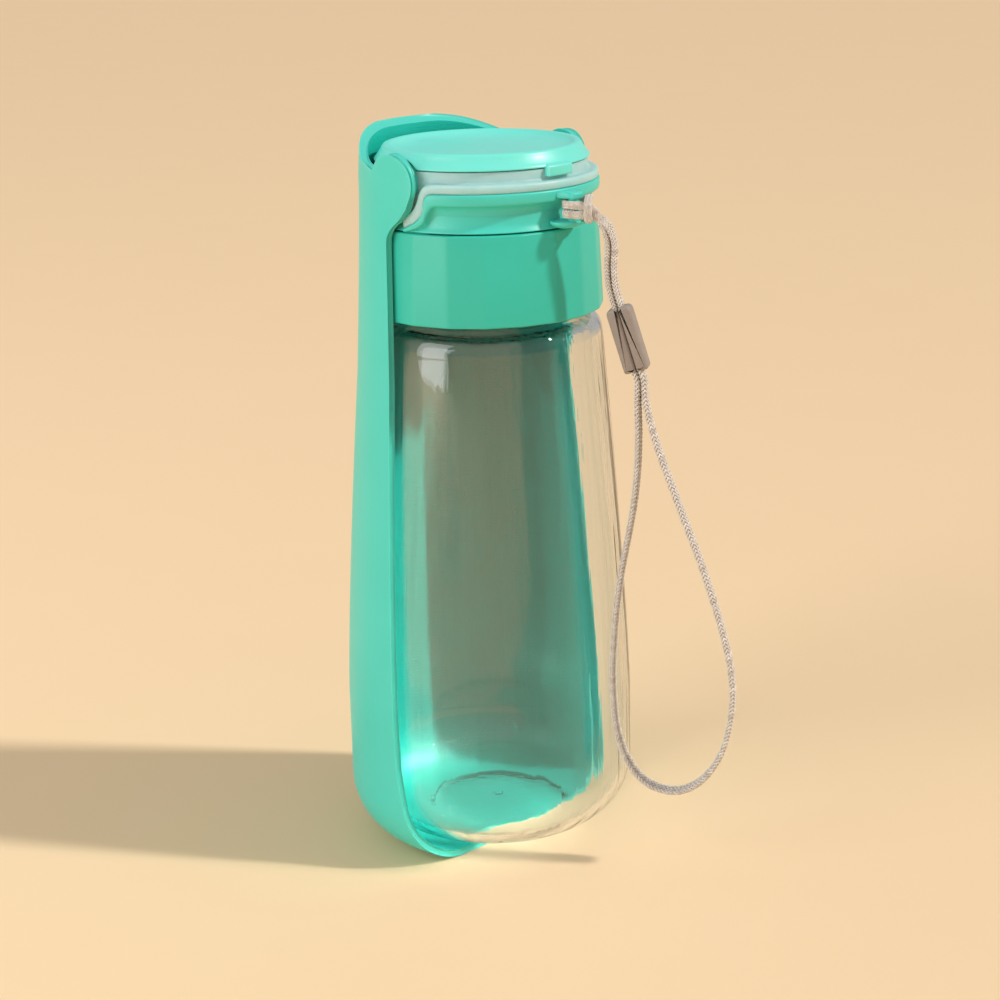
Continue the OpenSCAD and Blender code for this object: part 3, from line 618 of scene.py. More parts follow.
def clamp_half(side):
    """One half of the clamp, parted along the middle of its wide face, with rounded outer edges."""
    w = CLAMP_W / 2
    outline = softened([(0.05, 0, 0.25), (w * side, 0, 2.6), (w * side, -CLAMP_L, 1.0), (0.05, -CLAMP_L,
        0.25)]
                       if side > 0 else
                       [(-0.05, 0, 0.25), (-0.05, -CLAMP_L, 0.25), (-w, -CLAMP_L, 1.0), (-w, 0, 2.6)], 6)
    lean = radians(CLAMP_LEAN)

    def hang(p):
        u, v, across = p
        s = CLAMP_TOP[0] + u * cos(lean) - v * sin(lean)
        z = CLAMP_TOP[1] + u * sin(lean) + v * cos(lean)
        return tuple(in_strap_plane(s, across, z))

    return moved(prism(outline, -CLAMP_T / 2, CLAMP_T / 2, 0.9, 5), hang)


clamps = [make_piece("clamp_" + word, clamp_half(side), [CLAMP_GREY], "root",
                     ["clamp_half_" + word], sharp=15) for word, side in (("left", -1), ("right", 1))]
hitch, hitch_path = make_braid("hitch_braid", hitch_rows(), "strap_hitch")
loop, loop_path = make_braid("loop_braid", loop_rows(), "strap_loop")
tuple(hitch_path[0])
length_of(hitch_path)
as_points(hitch_path)
tuple(loop_path[0])
length_of(loop_path)
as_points(loop_path)


# Bottle
def body_r(z):
    return BOTTLE_R - (BOTTLE_R - SHOULDER_R) * max((z - Z_BELLY) / (Z_SHOULDER - Z_BELLY), 0) ** TAPER_POWER


def bottle_side(d):
    """Outline of the bottle from its foot to its neck, made smaller by d."""
    return (arc((BOTTLE_R - CORNER_R, Z_BASE + CORNER_R), CORNER_R - d, -90, 0, 20)
            + [(BOTTLE_R - d, z) for z in (27, 33, 39)]
            + [(body_r(z) - d, z) for z in np.linspace(Z_BELLY, Z_SHOULDER - 1, 36)]
            + bend((SHOULDER_R - d, Z_SHOULDER), (SHOULDER_R - d, Z_NECK - 1 - d),
                   (NECK_R + 1 - d * 0.4, Z_NECK - 0.6 - d), 10))


def bottle_punt(d):
    foot_r = BOTTLE_R - CORNER_R - 2
    return bend((5, Z_BASE + 3 + d), (17, Z_BASE + 3 + d), (foot_r, Z_BASE + d), 10)


def bottle_outline():
    outside = [(0, Z_BASE + 2.5), (0.9, Z_BASE + 2.5), (1.2, Z_BASE + 2.95), (2.4, Z_BASE + 3)]
    outside += bottle_punt(0) + bottle_side(0)
    neck = [(NECK_R, Z_NECK + 0.2), (NECK_R, LUG_Z - 0.3), (29.2, LUG_Z), (29.2, LUG_Z + 3), (NECK_R,
        LUG_Z + 3.3)]
    rim = [(NECK_R, Z_RIM - 0.5), (NECK_R - 0.5, Z_RIM), (NECK_R - NECK_WALL + 0.5, Z_RIM),
           (NECK_R - NECK_WALL, Z_RIM - 0.5), (NECK_R - NECK_WALL, Z_NECK - 1.5)]
    inside = list(reversed(bottle_side(BOTTLE_WALL)))[1:] + list(reversed(bottle_punt(BOTTLE_WALL)))
    return outside + neck + rim + inside + [(0, Z_BASE + 3 + BOTTLE_WALL)]


WAVES = [(5, 0.3, 0.035), (9, 1.9, 0.03), (14, 4.1, 0.03), (23, 2.6, 0.022), (37, 0.8, 0.014), (61, 3.3,
    0.007)]


def bottle_walls(r, z, angle):
    """Lugs on the neck, and walls that are never quite even: each wave is its count round the bottle, where
    it
    starts and how high it is. They end towards the foot and the neck."""
    lug = abs((degrees(angle) + 60) % 120 - 60) < 20
    if r > 28.5 and LUG_Z - 1 < z < LUG_Z + 4 and not lug:
        return NECK_R, z
    if Z_BASE + CORNER_R * 0.5 < z < Z_SHOULDER + 4:
        inner = r < (body_r(z) if z > Z_BELLY else BOTTLE_R) - BOTTLE_WALL / 2
        ease = float(smoothstep(z, 12, 30) * (1 - smoothstep(z, Z_SHOULDER - 8, Z_SHOULDER + 4)))
        wave = sum(h * sin(n * angle + start + 0.0012 * n * z) for n, start, h in WAVES)
        return r + wave * ease * (1.6 if inner else 0.35), z
    return r, z


def bottle():
    return turned(bottle_outline(), 240, bottle_walls)


make_piece("bottle", bottle(), [CLEAR], "root", ["bottle_body"], sharp=50)


# Drinking trough
EDGE = 0.6              # rounding of the trough's edges


def trough_sections():
    """Rows of outer r, outer z, inner r and inner z from the middle of the floor up to the back rim."""
    corner_r, belly = 19.2, BOTTLE_R + 2.8
    rows = [(r, 0, r, 1.9) for r in np.linspace(0, belly - corner_r, 12, endpoint=False)]
    for t in np.linspace(-90, 0, 20, endpoint=False):
        c, s = cos(radians(t)), sin(radians(t))
        rows.append((belly - corner_r + corner_r * c, corner_r + corner_r * s,
                     belly - corner_r + (corner_r - 2) * c, corner_r + (corner_r - 2) * s))
    rows += [(belly, z, belly - 2, z) for z in (corner_r, 25, 31, 37)]
    rows += [(body_r(z) + 2.8, z, body_r(z) + 0.8, z) for z in np.linspace(Z_BELLY, 144, 24)]
    top = [(body_r(144) + 2.8, 144, 2.0), (36.3, Z_COLLAR, 1.95), (35.3, Z_SEAM - 5, 1.9),
           (35.1, Z_SEAM + 1, 1.9), (TROUGH_TOP_R, Z_HEAD + 6, ARCH_WALL), (TROUGH_TOP_R, Z_BACK_RIM,
               ARCH_WALL)]
    heights = np.linspace(145.2, Z_BACK_RIM, 44)
    zs = [t[1] for t in top]
    for z in heights:
        r, w = np.interp(z, zs, [t[0] for t in top]), np.interp(z, zs, [t[2] for t in top])
        rows.append((r, z, r - w, z))
    rows = np.array(rows)
    soft = rows.copy()
    for _ in range(6):
        soft[60:-1, ::2] = (soft[59:-2, ::2] + 2 * soft[60:-1, ::2] + soft[61:, ::2]) / 4
    return soft


TROUGH = trough_sections()
TROUGH_M = np.concatenate([[0], np.cumsum(np.hypot(np.diff(TROUGH[:, 0]), np.diff(TROUGH[:, 1])))])


def trough_m(z):
    """How far along the outer wall, from the middle of the floor, the height z is."""
    floor = int(np.argmax(TROUGH[:, 1] > 0)) - 1
    return np.interp(z, TROUGH[floor:, 1], TROUGH_M[floor:])


def arch_lean(z):
    """How far the arch leans in over the lid at height z."""
    return ARCH_IN * (np.maximum(z - Z_PIVOT, 0) / (Z_BACK_RIM - Z_PIVOT)) ** 1.15


def trough_point(angle, m, depth):
    """A point of the trough's wall, from its outer face (depth 0) to its inner face (depth 1)."""
    ro, zo, ri, zi = (np.interp(m, TROUGH_M, TROUGH[:, k]) for k in range(4))
    back = smoothstep(-np.cos(angle), 0.2, 0.75)
    lean = arch_lean(zo) * smoothstep(-np.cos(angle), 0.2, 0.48)
    zi = zi - 1.8 * np.clip((zo - Z_PIVOT) / (Z_BACK_RIM - Z_PIVOT), 0, 1) * back
    ro, ri = ro - lean, ri - lean
    x, y, z = ri * np.cos(angle), ri * np.sin(angle), zi
    near = 1 - smoothstep(np.hypot(x, z - Z_PIVOT), SWING_R, SWING_R + 1.6)
    y = np.where(y < 0, -1, 1) * (np.abs(y) * (1 - near) + EAR_IN_Y * near)
    oy = ro * np.sin(angle)
    limit = EAR_OUT_Y + 10 * (1 - smoothstep(zo, Z_COLLAR, Z_HEAD + 2))
    outer = np.stack([ro * np.cos(angle), np.clip(oy, -limit, limit), zo], -1)
    inner = np.stack([x, y, z], -1)
    depth = np.asarray(depth, float)[..., None]
    return outer * (1 - depth) + inner * depth


def trough_side_view():
    """Front edge of one side: X and height, from the floor over the ear and the notch to the middle of the
    back."""
    edge = [(9.6, z) for z in (0.05, 0.3, 0.7, 1.2)] + bend((9.6, 1.6), (5.6, 19), (3.7, 31), 16)
    edge += [(3.7 - 5.7 * t, 31 + (Z_PIVOT - 48) * t) for t in np.linspace(0.03, 1, 60)]
    edge += [(x, Z_PIVOT + z) for x, z in [(-1.95, -15.8), (-1.75, -14.4), (-1.2, -13), (-0.35, -11.8), (0.9,
        -10.6),
                                           (2.15, -9.75), (3.3, -8.85), (4.35, -7.7), (5.3, -6.4), (6.1,
                                               -4.9)]]
    edge += [(x, Z_PIVOT + z) for x, z in arc((0, 0), EAR_R, -32, 152, 36)]
    edge += [(x, Z_PIVOT + z) for x, z in [(-7.2, 2.75), (-7.8, 2.65), (-8.6, 2.8)]]
    return edge


# Height of the rim over the pivots at angles away from the middle of the back
RIM_HEIGHTS = [(72, 3.2), (64, 4.0), (56, 5.6), (48, 7.6), (40, 9.3), (32, 10.6), (24, 11.4), (16, 11.9), (8,
    12.2),
               (0, 12.28)]


def smooth_through(xs, ys, x):
    """Value at x of a smooth curve through points whose xs fall."""
    i = int(np.clip(np.searchsorted(-np.array(xs), -x) - 1, 0, len(xs) - 2))
    slope = [(ys[min(k + 1, len(ys) - 1)] - ys[max(k - 1, 0)]) / (xs[min(k + 1, len(xs) - 1)] - xs[max(k - 1,
        0)])
             for k in (i, i + 1)]
    step = xs[i + 1] - xs[i]
    t = (x - xs[i]) / step
    return ((1 + 2 * t) * (1 - t) ** 2 * ys[i] + t * (1 - t) ** 2 * step * slope[0]
            + t * t * (3 - 2 * t) * ys[i + 1] + t * t * (t - 1) * step * slope[1])


def trough_outline():
    """Closed outline of the trough's wall as angle and distance along the wall."""
    half = []
    for y in np.linspace(0, 21.8, 18):
        r = hypot(9.6, y)
        half.append((atan2(y, 9.6), r))
    for x, z in trough_side_view():
        m = float(trough_m(z))
        r = float(np.interp(m, TROUGH_M, TROUGH[:, 0]))
        half.append((acos(x / r), m))
    first = 180 - degrees(half[-1][0])
    away = [first] + [v for v, _ in RIM_HEIGHTS if v < first - 2]
    rise = [trough_side_view()[-1][1] - Z_PIVOT] + [z for v, z in RIM_HEIGHTS if v < first - 2]
    for v in np.linspace(first, 0, 50)[1:]:
        half.append((radians(180 - v), float(trough_m(Z_PIVOT + smooth_through(away, rise, v)))))
    other = [(-a, m) for a, m in reversed(half[1:-1])]
    return np.array(half + other)


def even_outline(outline, step):
    """The outline with its points an even step apart on the real surface; its first point is in front."""
    closed = np.vstack([outline, outline[:1]])
    angle = np.unwrap(closed[:, 0])
    place = trough_point(angle, closed[:, 1], 0)
    run = np.concatenate([[0], np.cumsum(np.linalg.norm(np.diff(place, axis=0), axis=1))])
    at = np.linspace(0, run[-1], int(run[-1] / step), endpoint=False)
    return np.stack([np.interp(at, run, angle), np.interp(at, run, closed[:, 1])], 1)


def moved_in(outline, distance):
    """The outline moved into the wall by a distance measured on the surface."""
    angle, m = outline[:, 0], outline[:, 1]
    r = np.interp(m, TROUGH_M, TROUGH[:, 0])
    full = 2 * pi if outline[-1, 0] > outline[0, 0] else -2 * pi
    ahead, behind = np.roll(angle, -1), np.roll(angle, 1)
    ahead[-1] += full
    behind[0] -= full
    du, dv = (ahead - behind) * r, np.roll(m, -1) - np.roll(m, 1)
    size = np.hypot(du, dv)
    inward = np.stack([-dv / size / r, du / size], 1)
    return outline + (inward if full > 0 else -inward) * np.asarray(distance).reshape(-1, 1)


def flat_map(angle, m):
    """Lays the wall out flat without changing its angles, for the triangulation."""
    floor_r = BOTTLE_R + 2.8 - 19.2
    slope = np.interp(TROUGH_M, TROUGH_M, 1 / np.maximum(TROUGH[:, 0], 1))
    start = int(np.searchsorted(TROUGH_M, floor_r))
    grown = np.concatenate([[0], np.cumsum((slope[1:] + slope[:-1]) / 2 * np.diff(TROUGH_M))])
    grown -= np.interp(floor_r, TROUGH_M, grown)
    radius = np.where(m < floor_r, m, floor_r * np.exp(np.interp(m, TROUGH_M, grown)))
    return np.stack([radius * np.cos(angle), radius * np.sin(angle)], -1), start


def inside_of(loop, spots):
    """Which spots lie in the closed loop."""
    hit = np.zeros(len(spots), bool)
    for (x1, y1), (x2, y2) in zip(loop, np.roll(loop, -1, 0)):
        crosses = (y1 > spots[:, 1]) != (y2 > spots[:, 1])
        if y1 != y2:
            hit ^= crosses & (spots[:, 0] < (x2 - x1) * (spots[:, 1] - y1) / (y2 - y1) + x1)
    return hit


def trough_shell():
    outline = even_outline(trough_outline(), 1.0)
    border = moved_in(outline, EDGE)
    grid = [(a, m) for m in np.concatenate([np.arange(1.5, 56, 1.7), np.arange(57, TROUGH_M[-1] - 1, 2.2)])
            for a in np.linspace(0, 2 * pi, int(max(2 * pi * np.interp(m, TROUGH_M, TROUGH[:, 0]) / 2.0, 6)),
                                 endpoint=False)]
    grid = np.array(grid)
    flat_border, _ = flat_map(border[:, 0], border[:, 1])
    flat_grid, _ = flat_map(grid[:, 0], grid[:, 1])
    keep = inside_of(flat_border, flat_grid)
    grid, flat_grid = grid[keep], flat_grid[keep]
    edge_places, places = trough_point(border[:, 0], border[:, 1], 0), trough_point(grid[:, 0], grid[:, 1], 0)
    clear = np.array([np.min(np.linalg.norm(edge_places - p, axis=1)) > 0.9 for p in places])
    grid, flat_grid = grid[clear], flat_grid[clear]
    n = len(border)
    flat = [Vector(p) for p in np.vstack([flat_border, flat_grid])]
    loop_edges = [(i, (i + 1) % n) for i in range(n)]
    found = delaunay_2d_cdt(flat, loop_edges, [list(range(n))], 1, 1e-7)
    if len(found[0]) != len(flat):
        raise RuntimeError(f"the trough's outline crosses itself: {len(found[0])} points from {len(flat)}")
    order = [group[0] for group in found[3]]
    triangles = [tuple(order[i] for i in face) for face in found[2]]
    spots = np.vstack([border, grid])
    outer = trough_point(spots[:, 0], spots[:, 1], np.zeros(len(spots)))
    inner = trough_point(spots[:, 0], spots[:, 1], np.ones(len(spots)))
    count = len(spots)
    points = list(map(tuple, outer)) + list(map(tuple, inner))
    faces = triangles + [tuple(count + i for i in reversed(f)) for f in triangles]
    inside = [0] * len(triangles) + [1] * len(triangles)
    height = np.interp(outline[:, 1], TROUGH_M, TROUGH[:, 1])
    rebate = 0.4 * smoothstep(height, 186, 192) * (1 - smoothstep(-np.cos(outline[:, 0]), 0.3, 0.5))
    rings = [(EDGE * (1 - sin(t)), EDGE * (1 - cos(t)) / 2.2, 0) for t in np.linspace(0, pi / 2, 5)[1:]]
    rings += [(0, 0.42, 0), (0, 0.47, 0.5), (0, 0.5, 1)]
    rings += [(EDGE * (1 - sin(t)), 1 - EDGE * (1 - cos(t)) / 2.2, 1) for t in np.linspace(pi / 2, 0, 5)[:-1]]
    last = list(range(n))
    for inset, depth, step_share in rings:
        ring = moved_in(outline, inset + rebate * step_share)
        start = len(points)
        points += list(map(tuple, trough_point(ring[:, 0], ring[:, 1], np.full(n, depth))))
        now = list(range(start, start + n))
        faces += [(last[i], last[(i + 1) % n], now[(i + 1) % n], now[i]) for i in range(n)]
        last = now
    now = [count + i for i in range(n)]
    faces += [(last[i], last[(i + 1) % n], now[(i + 1) % n], now[i]) for i in range(n)]
    inside += [0] * (len(faces) - len(inside))
    return (points, faces), inside


trough_shape, trough_inside = trough_shell()
# The inside faces take the darker dotted mint, painted shade for the inside of the trough.
trough = make_piece("trough", trough_shape, [MINT_SMOOTH, MINT_DOTTED_SHADED], "trough",
                    ["trough_shell"], sharp=50, by_face=trough_inside)


# Lock collar
def collar_outline():
    lean = (COLLAR_LOW_R - COLLAR_TOP_R) / (Z_SEAM - Z_COLLAR)
    return softened([
        (COLLAR_BORE_R, Z_COLLAR, 0.3), (COLLAR_LOW_R, Z_COLLAR, 0.7),
        (COLLAR_LOW_R - lean * 12, Z_COLLAR + 12, 0), (COLLAR_TOP_R, Z_SEAM, 0.6),
        (COLLAR_LIP_R, Z_SEAM, 0.4), (COLLAR_LIP_R, Z_SEAM - 3.2, 0.2), (COLLAR_BORE_R, Z_SEAM - 3.2, 0),
        (COLLAR_BORE_R, LUG_Z - 0.3, 0), (27.0, LUG_Z - 0.6, 0.2), (27.0, LUG_Z - 3.0, 0.2), (COLLAR_BORE_R,
            LUG_Z - 3.3, 0)], 5)


def collar_lugs(r, z, angle):
    lug = abs((degrees(angle) + 60) % 120 - 60) < 20
    return (COLLAR_BORE_R, z) if r < COLLAR_BORE_R - 0.2 and z < LUG_Z and not lug else (r, z)


def grip_facets():
    """Geometry nodes that press flat grip facets into a turned ring."""
    tree = bpy.data.node_groups.new("grip_facets", "GeometryNodeTree")
    face = tree.interface
    face.new_socket("Geometry", in_out="INPUT", socket_type="NodeSocketGeometry")
    for name, value in (("Facets", FACETS), ("Turn", radians(FACET_TURN)), ("Inner radius", 0.0311),
                        ("Corner softness", 0.22)):
        face.new_socket(name, in_out="INPUT", socket_type="NodeSocketFloat").default_value = value
    face.new_socket("Plastic", in_out="INPUT", socket_type="NodeSocketMaterial").default_value = MINT
    face.new_socket("Geometry", in_out="OUTPUT", socket_type="NodeSocketGeometry")
    given = tree.nodes.new("NodeGroupInput")
    result = tree.nodes.new("NodeGroupOutput")

    def value(kind, a, b=None, c=None):
        made = tree.nodes.new("ShaderNodeMath")
        made.operation = kind
        for k, v in enumerate((a, b, c)):
            if isinstance(v, bpy.types.NodeSocket):
                tree.links.new(v, made.inputs[k])
            elif v is not None:
                made.inputs[k].default_value = v
        return made.outputs[0]

    place = tree.nodes.new("GeometryNodeInputPosition").outputs[0]
    apart = tree.nodes.new("ShaderNodeSeparateXYZ")
    tree.links.new(place, apart.inputs[0])
    x, y, z = apart.outputs
    angle = value("ARCTAN2", y, x)
    radius = value("SQRT", value("ADD", value("MULTIPLY", x, x), value("MULTIPLY", y, y)))
    width = value("DIVIDE", 2 * pi, given.outputs["Facets"])
    turned_by = value("ADD", value("SUBTRACT", angle, given.outputs["Turn"]), 4 * pi)
    across = value("ABSOLUTE", value("SUBTRACT", value("MODULO", turned_by, width),
                                     value("DIVIDE", width, 2)))
    half = value("DIVIDE", width, 2)
    soft = value("MULTIPLY", half, given.outputs["Corner softness"])
    bent = value("SMOOTH_MIN", across, value("SUBTRACT", half, value("MULTIPLY", soft, 0.35)), soft)
    sunk = value("DIVIDE", value("COSINE", half), value("COSINE", bent))
    outside = value("GREATER_THAN", radius, given.outputs["Inner radius"])
    factor = value("ADD", 1, value("MULTIPLY", outside, value("SUBTRACT", sunk, 1)))
    together = tree.nodes.new("ShaderNodeCombineXYZ")
    for k, part in enumerate((value("MULTIPLY", x, factor), value("MULTIPLY", y, factor), z)):
        tree.links.new(part, together.inputs[k])
    pressed = tree.nodes.new("GeometryNodeSetPosition")
    tree.links.new(given.outputs["Geometry"], pressed.inputs["Geometry"])
    tree.links.new(together.outputs[0], pressed.inputs["Position"])
    real = tree.nodes.new("GeometryNodeRealizeInstances")
    tree.links.new(pressed.outputs[0], real.inputs[0])
    coloured = tree.nodes.new("GeometryNodeSetMaterial")
    tree.links.new(real.outputs[0], coloured.inputs["Geometry"])
    tree.links.new(given.outputs["Plastic"], coloured.inputs["Material"])
    tree.links.new(coloured.outputs[0], result.inputs[0])
    return tree


def make_collar():
    points, faces = turned(collar_outline(), 360, collar_lugs)
    blank = bpy.data.meshes.new("collar_blank")
    blank.from_pydata([tuple(c * MM for c in p) for p in points], [], faces)
    holder = bpy.data.objects.new("collar_blank", blank)
    bpy.context.scene.collection.objects.link(holder)
    holder.modifiers.new("grip", "NODES").node_group = grip_facets()
    bpy.context.view_layer.update()
    pressed = bpy.data.meshes.new_from_object(holder.evaluated_get(bpy.context.evaluated_depsgraph_get()))
    shape = [tuple(v.co / MM) for v in pressed.vertices], [tuple(f.vertices) for f in pressed.polygons]
    bpy.data.objects.remove(holder)
    return make_piece("collar", shape, [MINT], "collar", ["lock_collar"], sharp=60)


make_collar()


# Head
def head_outline():
    return softened([
        (26.7, Z_HEAD - 6.3, 0.2), (28.9, Z_HEAD - 6.3, 0.2), (29.6, Z_HEAD - 5.7, 0.2),
        (29.6, Z_SEAM - 3.9, 0.2), (28.6, Z_SEAM - 3.5, 0.2), (28.6, Z_HEAD, 0.1), (FOOT_R, Z_HEAD, 0.5),
        (WAIST_R + 0.25, Z_HEAD + 1.6, 1.0), (WAIST_R, Z_HEAD + 4.5, 1.4), (WAIST_R, Z_FLANGE, 0.5),
        (UPSTAND_R, Z_FLANGE, 0.3), (UPSTAND_R, Z_UPSTAND, 0.5), (UPSTAND_R - 1.5, Z_UPSTAND, 0.5),
        (UPSTAND_R - 1.5, Z_DECK + 3.4, 0.8), (23.3, Z_DECK + 3.4, 0.4), (23.3, Z_DECK, 0), (26.7, Z_DECK,
            0.2)], 5)


def hinge_room(r, z, angle):
    """The upstand stays low at the back, where the lid's hinge is."""
    if r > 26 and z > Z_PIVOT + 0.3 and cos(angle) < 0 and abs(r * sin(angle)) < 15.5:
        return r, Z_PIVOT + 0.3 + (z - Z_PIVOT - 0.3) * 0.02
    return r, z


def sweep(points):
    """Angle round the head and height of points given as X and height from the pivot."""
    return [(acos(x / SEAL_R), Z_PIVOT + z) for x, z in points]


SWEEP_STEPS = 24


def spread(points, n):
    """The points of a path, n of them an even way apart."""
    pts = np.array(points, float)
    scale = np.array((SEAL_R, 1.0))
    run = np.concatenate([[0], np.cumsum(np.linalg.norm(np.diff(pts * scale, axis=0), axis=1))])
    at = np.linspace(0, run[-1], n)
    return [(np.interp(t, run, pts[:, 0]), np.interp(t, run, pts[:, 1])) for t in at]


SEAL_PATH = spread(sweep([(13.2, -2), (12.4, -2.02)] + bend((11.7, -2.1), (9.9, -2.6), (9.9, -5), 8)
                         + bend((9.8, -6.2), (8.8, -9.8), (3, -11.8), 10)), SWEEP_STEPS)
LEDGE_TOP_PATH = spread(sweep([(13.2, 0.4), (11.8, 0.36), (10.4, 0.1)] + bend((9.7, -0.2), (8.4, -1.4), (7.9,
    -3.2), 5)
                              + bend((7.3, -4.8), (6, -7.6), (3, -8.9), 6)), SWEEP_STEPS)
FLANGE_PATH = spread(sweep([(13.2, -5.4), (12.8, -5.5)] + bend((12.2, -5.8), (11.2, -6.8), (10.6, -8.4), 6)
                           + bend((10.0, -9.8), (8, -12), (3, -12.9), 8)), SWEEP_STEPS)
FRONT_STEPS = 40


def both_ways(half):
    """Stations of one side, from the front to under the ear, carried over to the other side as well."""
    left = [[(x, -y, z) for x, y, z in ring] for ring in reversed(half[1:])]
    return left + half


def spot(r, angle, z):
    return (r * cos(angle), r * sin(angle), z)


def flange():
    front = [(a, Z_FLANGE, a, Z_FLANGE - 3.4) for a in np.linspace(0, SEAL_PATH[0][0], FRONT_STEPS)[:-1]]
    under = [(*top, *low) for top, low in zip(SEAL_PATH, FLANGE_PATH)]
    half = []
    for k, (ta, tz, la, lz) in enumerate(front + under):
        thick = min((tz - lz) / 3.4 if k < FRONT_STEPS else hypot((ta - la) * SEAL_R, tz - lz) / 3.4, 1.0)
        r = FLANGE_R - 0.25 * (1 - thick)
        ring = [spot(29.6, ta, tz), spot(r - 0.5, ta, tz), spot(r - 0.15, ta, tz - 0.14),
                spot(r, ta, tz - 0.45)]
        for share, out in ((0.35, 0), (0.72, 0.02), (0.88, 0.18), (0.97, 0.55), (1.0, 1.0)):
            ring.append(spot(r - out, ta + (la - ta) * share, tz + (lz - tz) * share))
        for drop, out in ((0.35, 1.45), (0.9, 1.95), (1.7, 2.3), (2.7, 2.48), (3.4, 2.7)):
            ring.append(spot(max(FLANGE_R - out, 29.9), la, lz - drop * (0.45 + 0.55 * thick)))
        ring += [spot(29.6, la, lz - 3.0)]
        half.append(ring)
    return banded(both_ways(half))


def strap_post():
    bar = turned([(0, POST_LOW - 0.8), (1.6, POST_LOW - 0.8), (1.6, POST_TOP + 0.8), (0, POST_TOP + 0.8)], 40)
    foot = turned([(0, POST_LOW - 2.2)] + bend((0.9, POST_LOW - 2.2), (4.6, POST_LOW - 2.1), (5.4,
        POST_LOW - 0.5), 10)
                  + bend((5.4, POST_LOW - 0.4), (5.35, POST_LOW), (4.9, POST_LOW), 4) + [(0, POST_LOW)], 64)
    lug = prism(softened([(30.5, -3.9, 0.4), (33.2, -3.3, 1.6), (36, -2.1, 1.2), (38.1, -2.1, 1.7), (38.1,
        2.1, 1.7),
                          (36, 2.1, 1.2), (33.2, 3.3, 1.6), (30.5, 3.9, 0.4)], 6),
                POST_TOP, POST_TOP + 1.9, 0.6)
    return joined(
        moved(bar, lambda p: (p[0] + POST_X, p[1], p[2])),
        moved(foot, lambda p: (33.4 + p[0] * (0.81 if p[0] > 0 else 0.7), p[1], p[2])),
        lug)


def hubs():
    parts = []
    for side in (-1, 1):
        outline = [(r, side * y) for r, y in softened([
            (PIN_R + 0.05, 26.6, 0), (HUB_R, 26.6, 0), (HUB_R, SIDE_Y, 0.5), (PIN_R + 0.05, SIDE_Y, 0.3),
            (PIN_R + 0.05, ORING_Y + 0.65, 0), (3.75, ORING_Y + 0.65, 0), (3.75, ORING_Y - 0.65, 0),
            (PIN_R + 0.05, ORING_Y - 0.65, 0)], 4)]
        parts.append(bar_on_y(outline, 0, Z_PIVOT, 72))
    return joined(*parts)


def hinge_knuckle():
    barrel = bar_on_y(softened([(1.15, -4.7, 0), (2.0, -4.7, 0.3), (2.0, 4.7, 0.3), (1.15, 4.7, 0)], 3),
                      -LID_HINGE_X, Z_LID_PIN, 40)
    stem = prism(softened([(-28.4, -4.7, 0.4), (-25.0, -4.7, 0.4), (-25.0, 4.7, 0.4), (-28.4, 4.7, 0.4)], 3),
                 Z_FLANGE + 0.7, Z_LID_PIN - 1.2, 0.1, 1)
    return joined(barrel, stem)


make_piece("head", joined(turned(head_outline(), 240, hinge_room), flange(), strap_post(), hubs(),
                          hinge_knuckle()),
           [MINT_SMOOTH], "root", ["head_shell"], sharp=50)


# Soft seal
def seal():
    hub_room = acos(5.4 / SEAL_WALL_R)
    first = SEAL_PATH[0][0]
    front = [(a, Z_FLANGE, a, Z_FLANGE + 2.4, a, Z_FLANGE + 2.6)
             for a in np.linspace(0, first, FRONT_STEPS)[:-1]]
    under = []
    for k, (low, high) in enumerate(zip(SEAL_PATH, LEDGE_TOP_PATH)):
        share = min(k / 12, 1.0)
        angle = first + (hub_room - first) * share
        x = SEAL_WALL_R * cos(angle)
        foot = Z_PIVOT + sqrt(max((HUB_R + 0.15) ** 2 - x * x, 0)) if x < HUB_R + 0.15 else Z_FLANGE + 2.6
        under.append((*low, *high, angle, min(max(foot, Z_FLANGE + 2.6), Z_UPSTAND + 0.1)))
    half = []
    for la, lz, ha, hz, wa, wz in front + under:
        ring = [spot(28.6, wa, min(wz - 0.1, Z_FLANGE + 1.0)), spot(30.0, la, lz + 0.02), spot(SEAL_R - 0.6,
            la, lz + 0.02),
                spot(SEAL_R - 0.16, la, lz + 0.12)]
        for share, out in ((0.2, 0.0), (0.5, 0.0), (0.75, 0.03), (0.9, 0.2), (0.98, 0.5), (1.0, 0.9), (1.0,
            1.7)):
            ring.append(spot(SEAL_R - out, la + (ha - la) * share, lz + (hz - lz) * share))
        ring += [spot(30.35, (ha + wa) / 2, (hz + wz) / 2 - 0.1), spot(SEAL_WALL_R + 0.12, wa, wz + 0.25),
                 spot(SEAL_WALL_R, wa, min(wz + 0.6, Z_UPSTAND + 0.15)), spot(SEAL_WALL_R, wa,
                     Z_UPSTAND + 0.18),
                 spot(SEAL_WALL_R - 0.12, wa, Z_UPSTAND + 0.3), spot(28.5, wa, Z_UPSTAND + 0.3)]
        half.append(ring)
    return banded(both_ways(half))


make_piece("seal", seal(), [SILICONE], "root", ["seal_skirt"], sharp=60)


# Pouring tube
def pour_tube():
    return turned(softened([
        (21.4, Z_TUBE, 0.3), (26.5, Z_TUBE, 0.2), (26.5, Z_DECK, 0.2), (23.2, Z_DECK, 0.2),
        (23.2, Z_UPSTAND - 0.5, 0.7), (21.4, Z_UPSTAND - 0.5, 0.7)], 5), 160)


make_piece("pouring_tube", pour_tube(), [NATURAL], "root", ["pour_tube"])


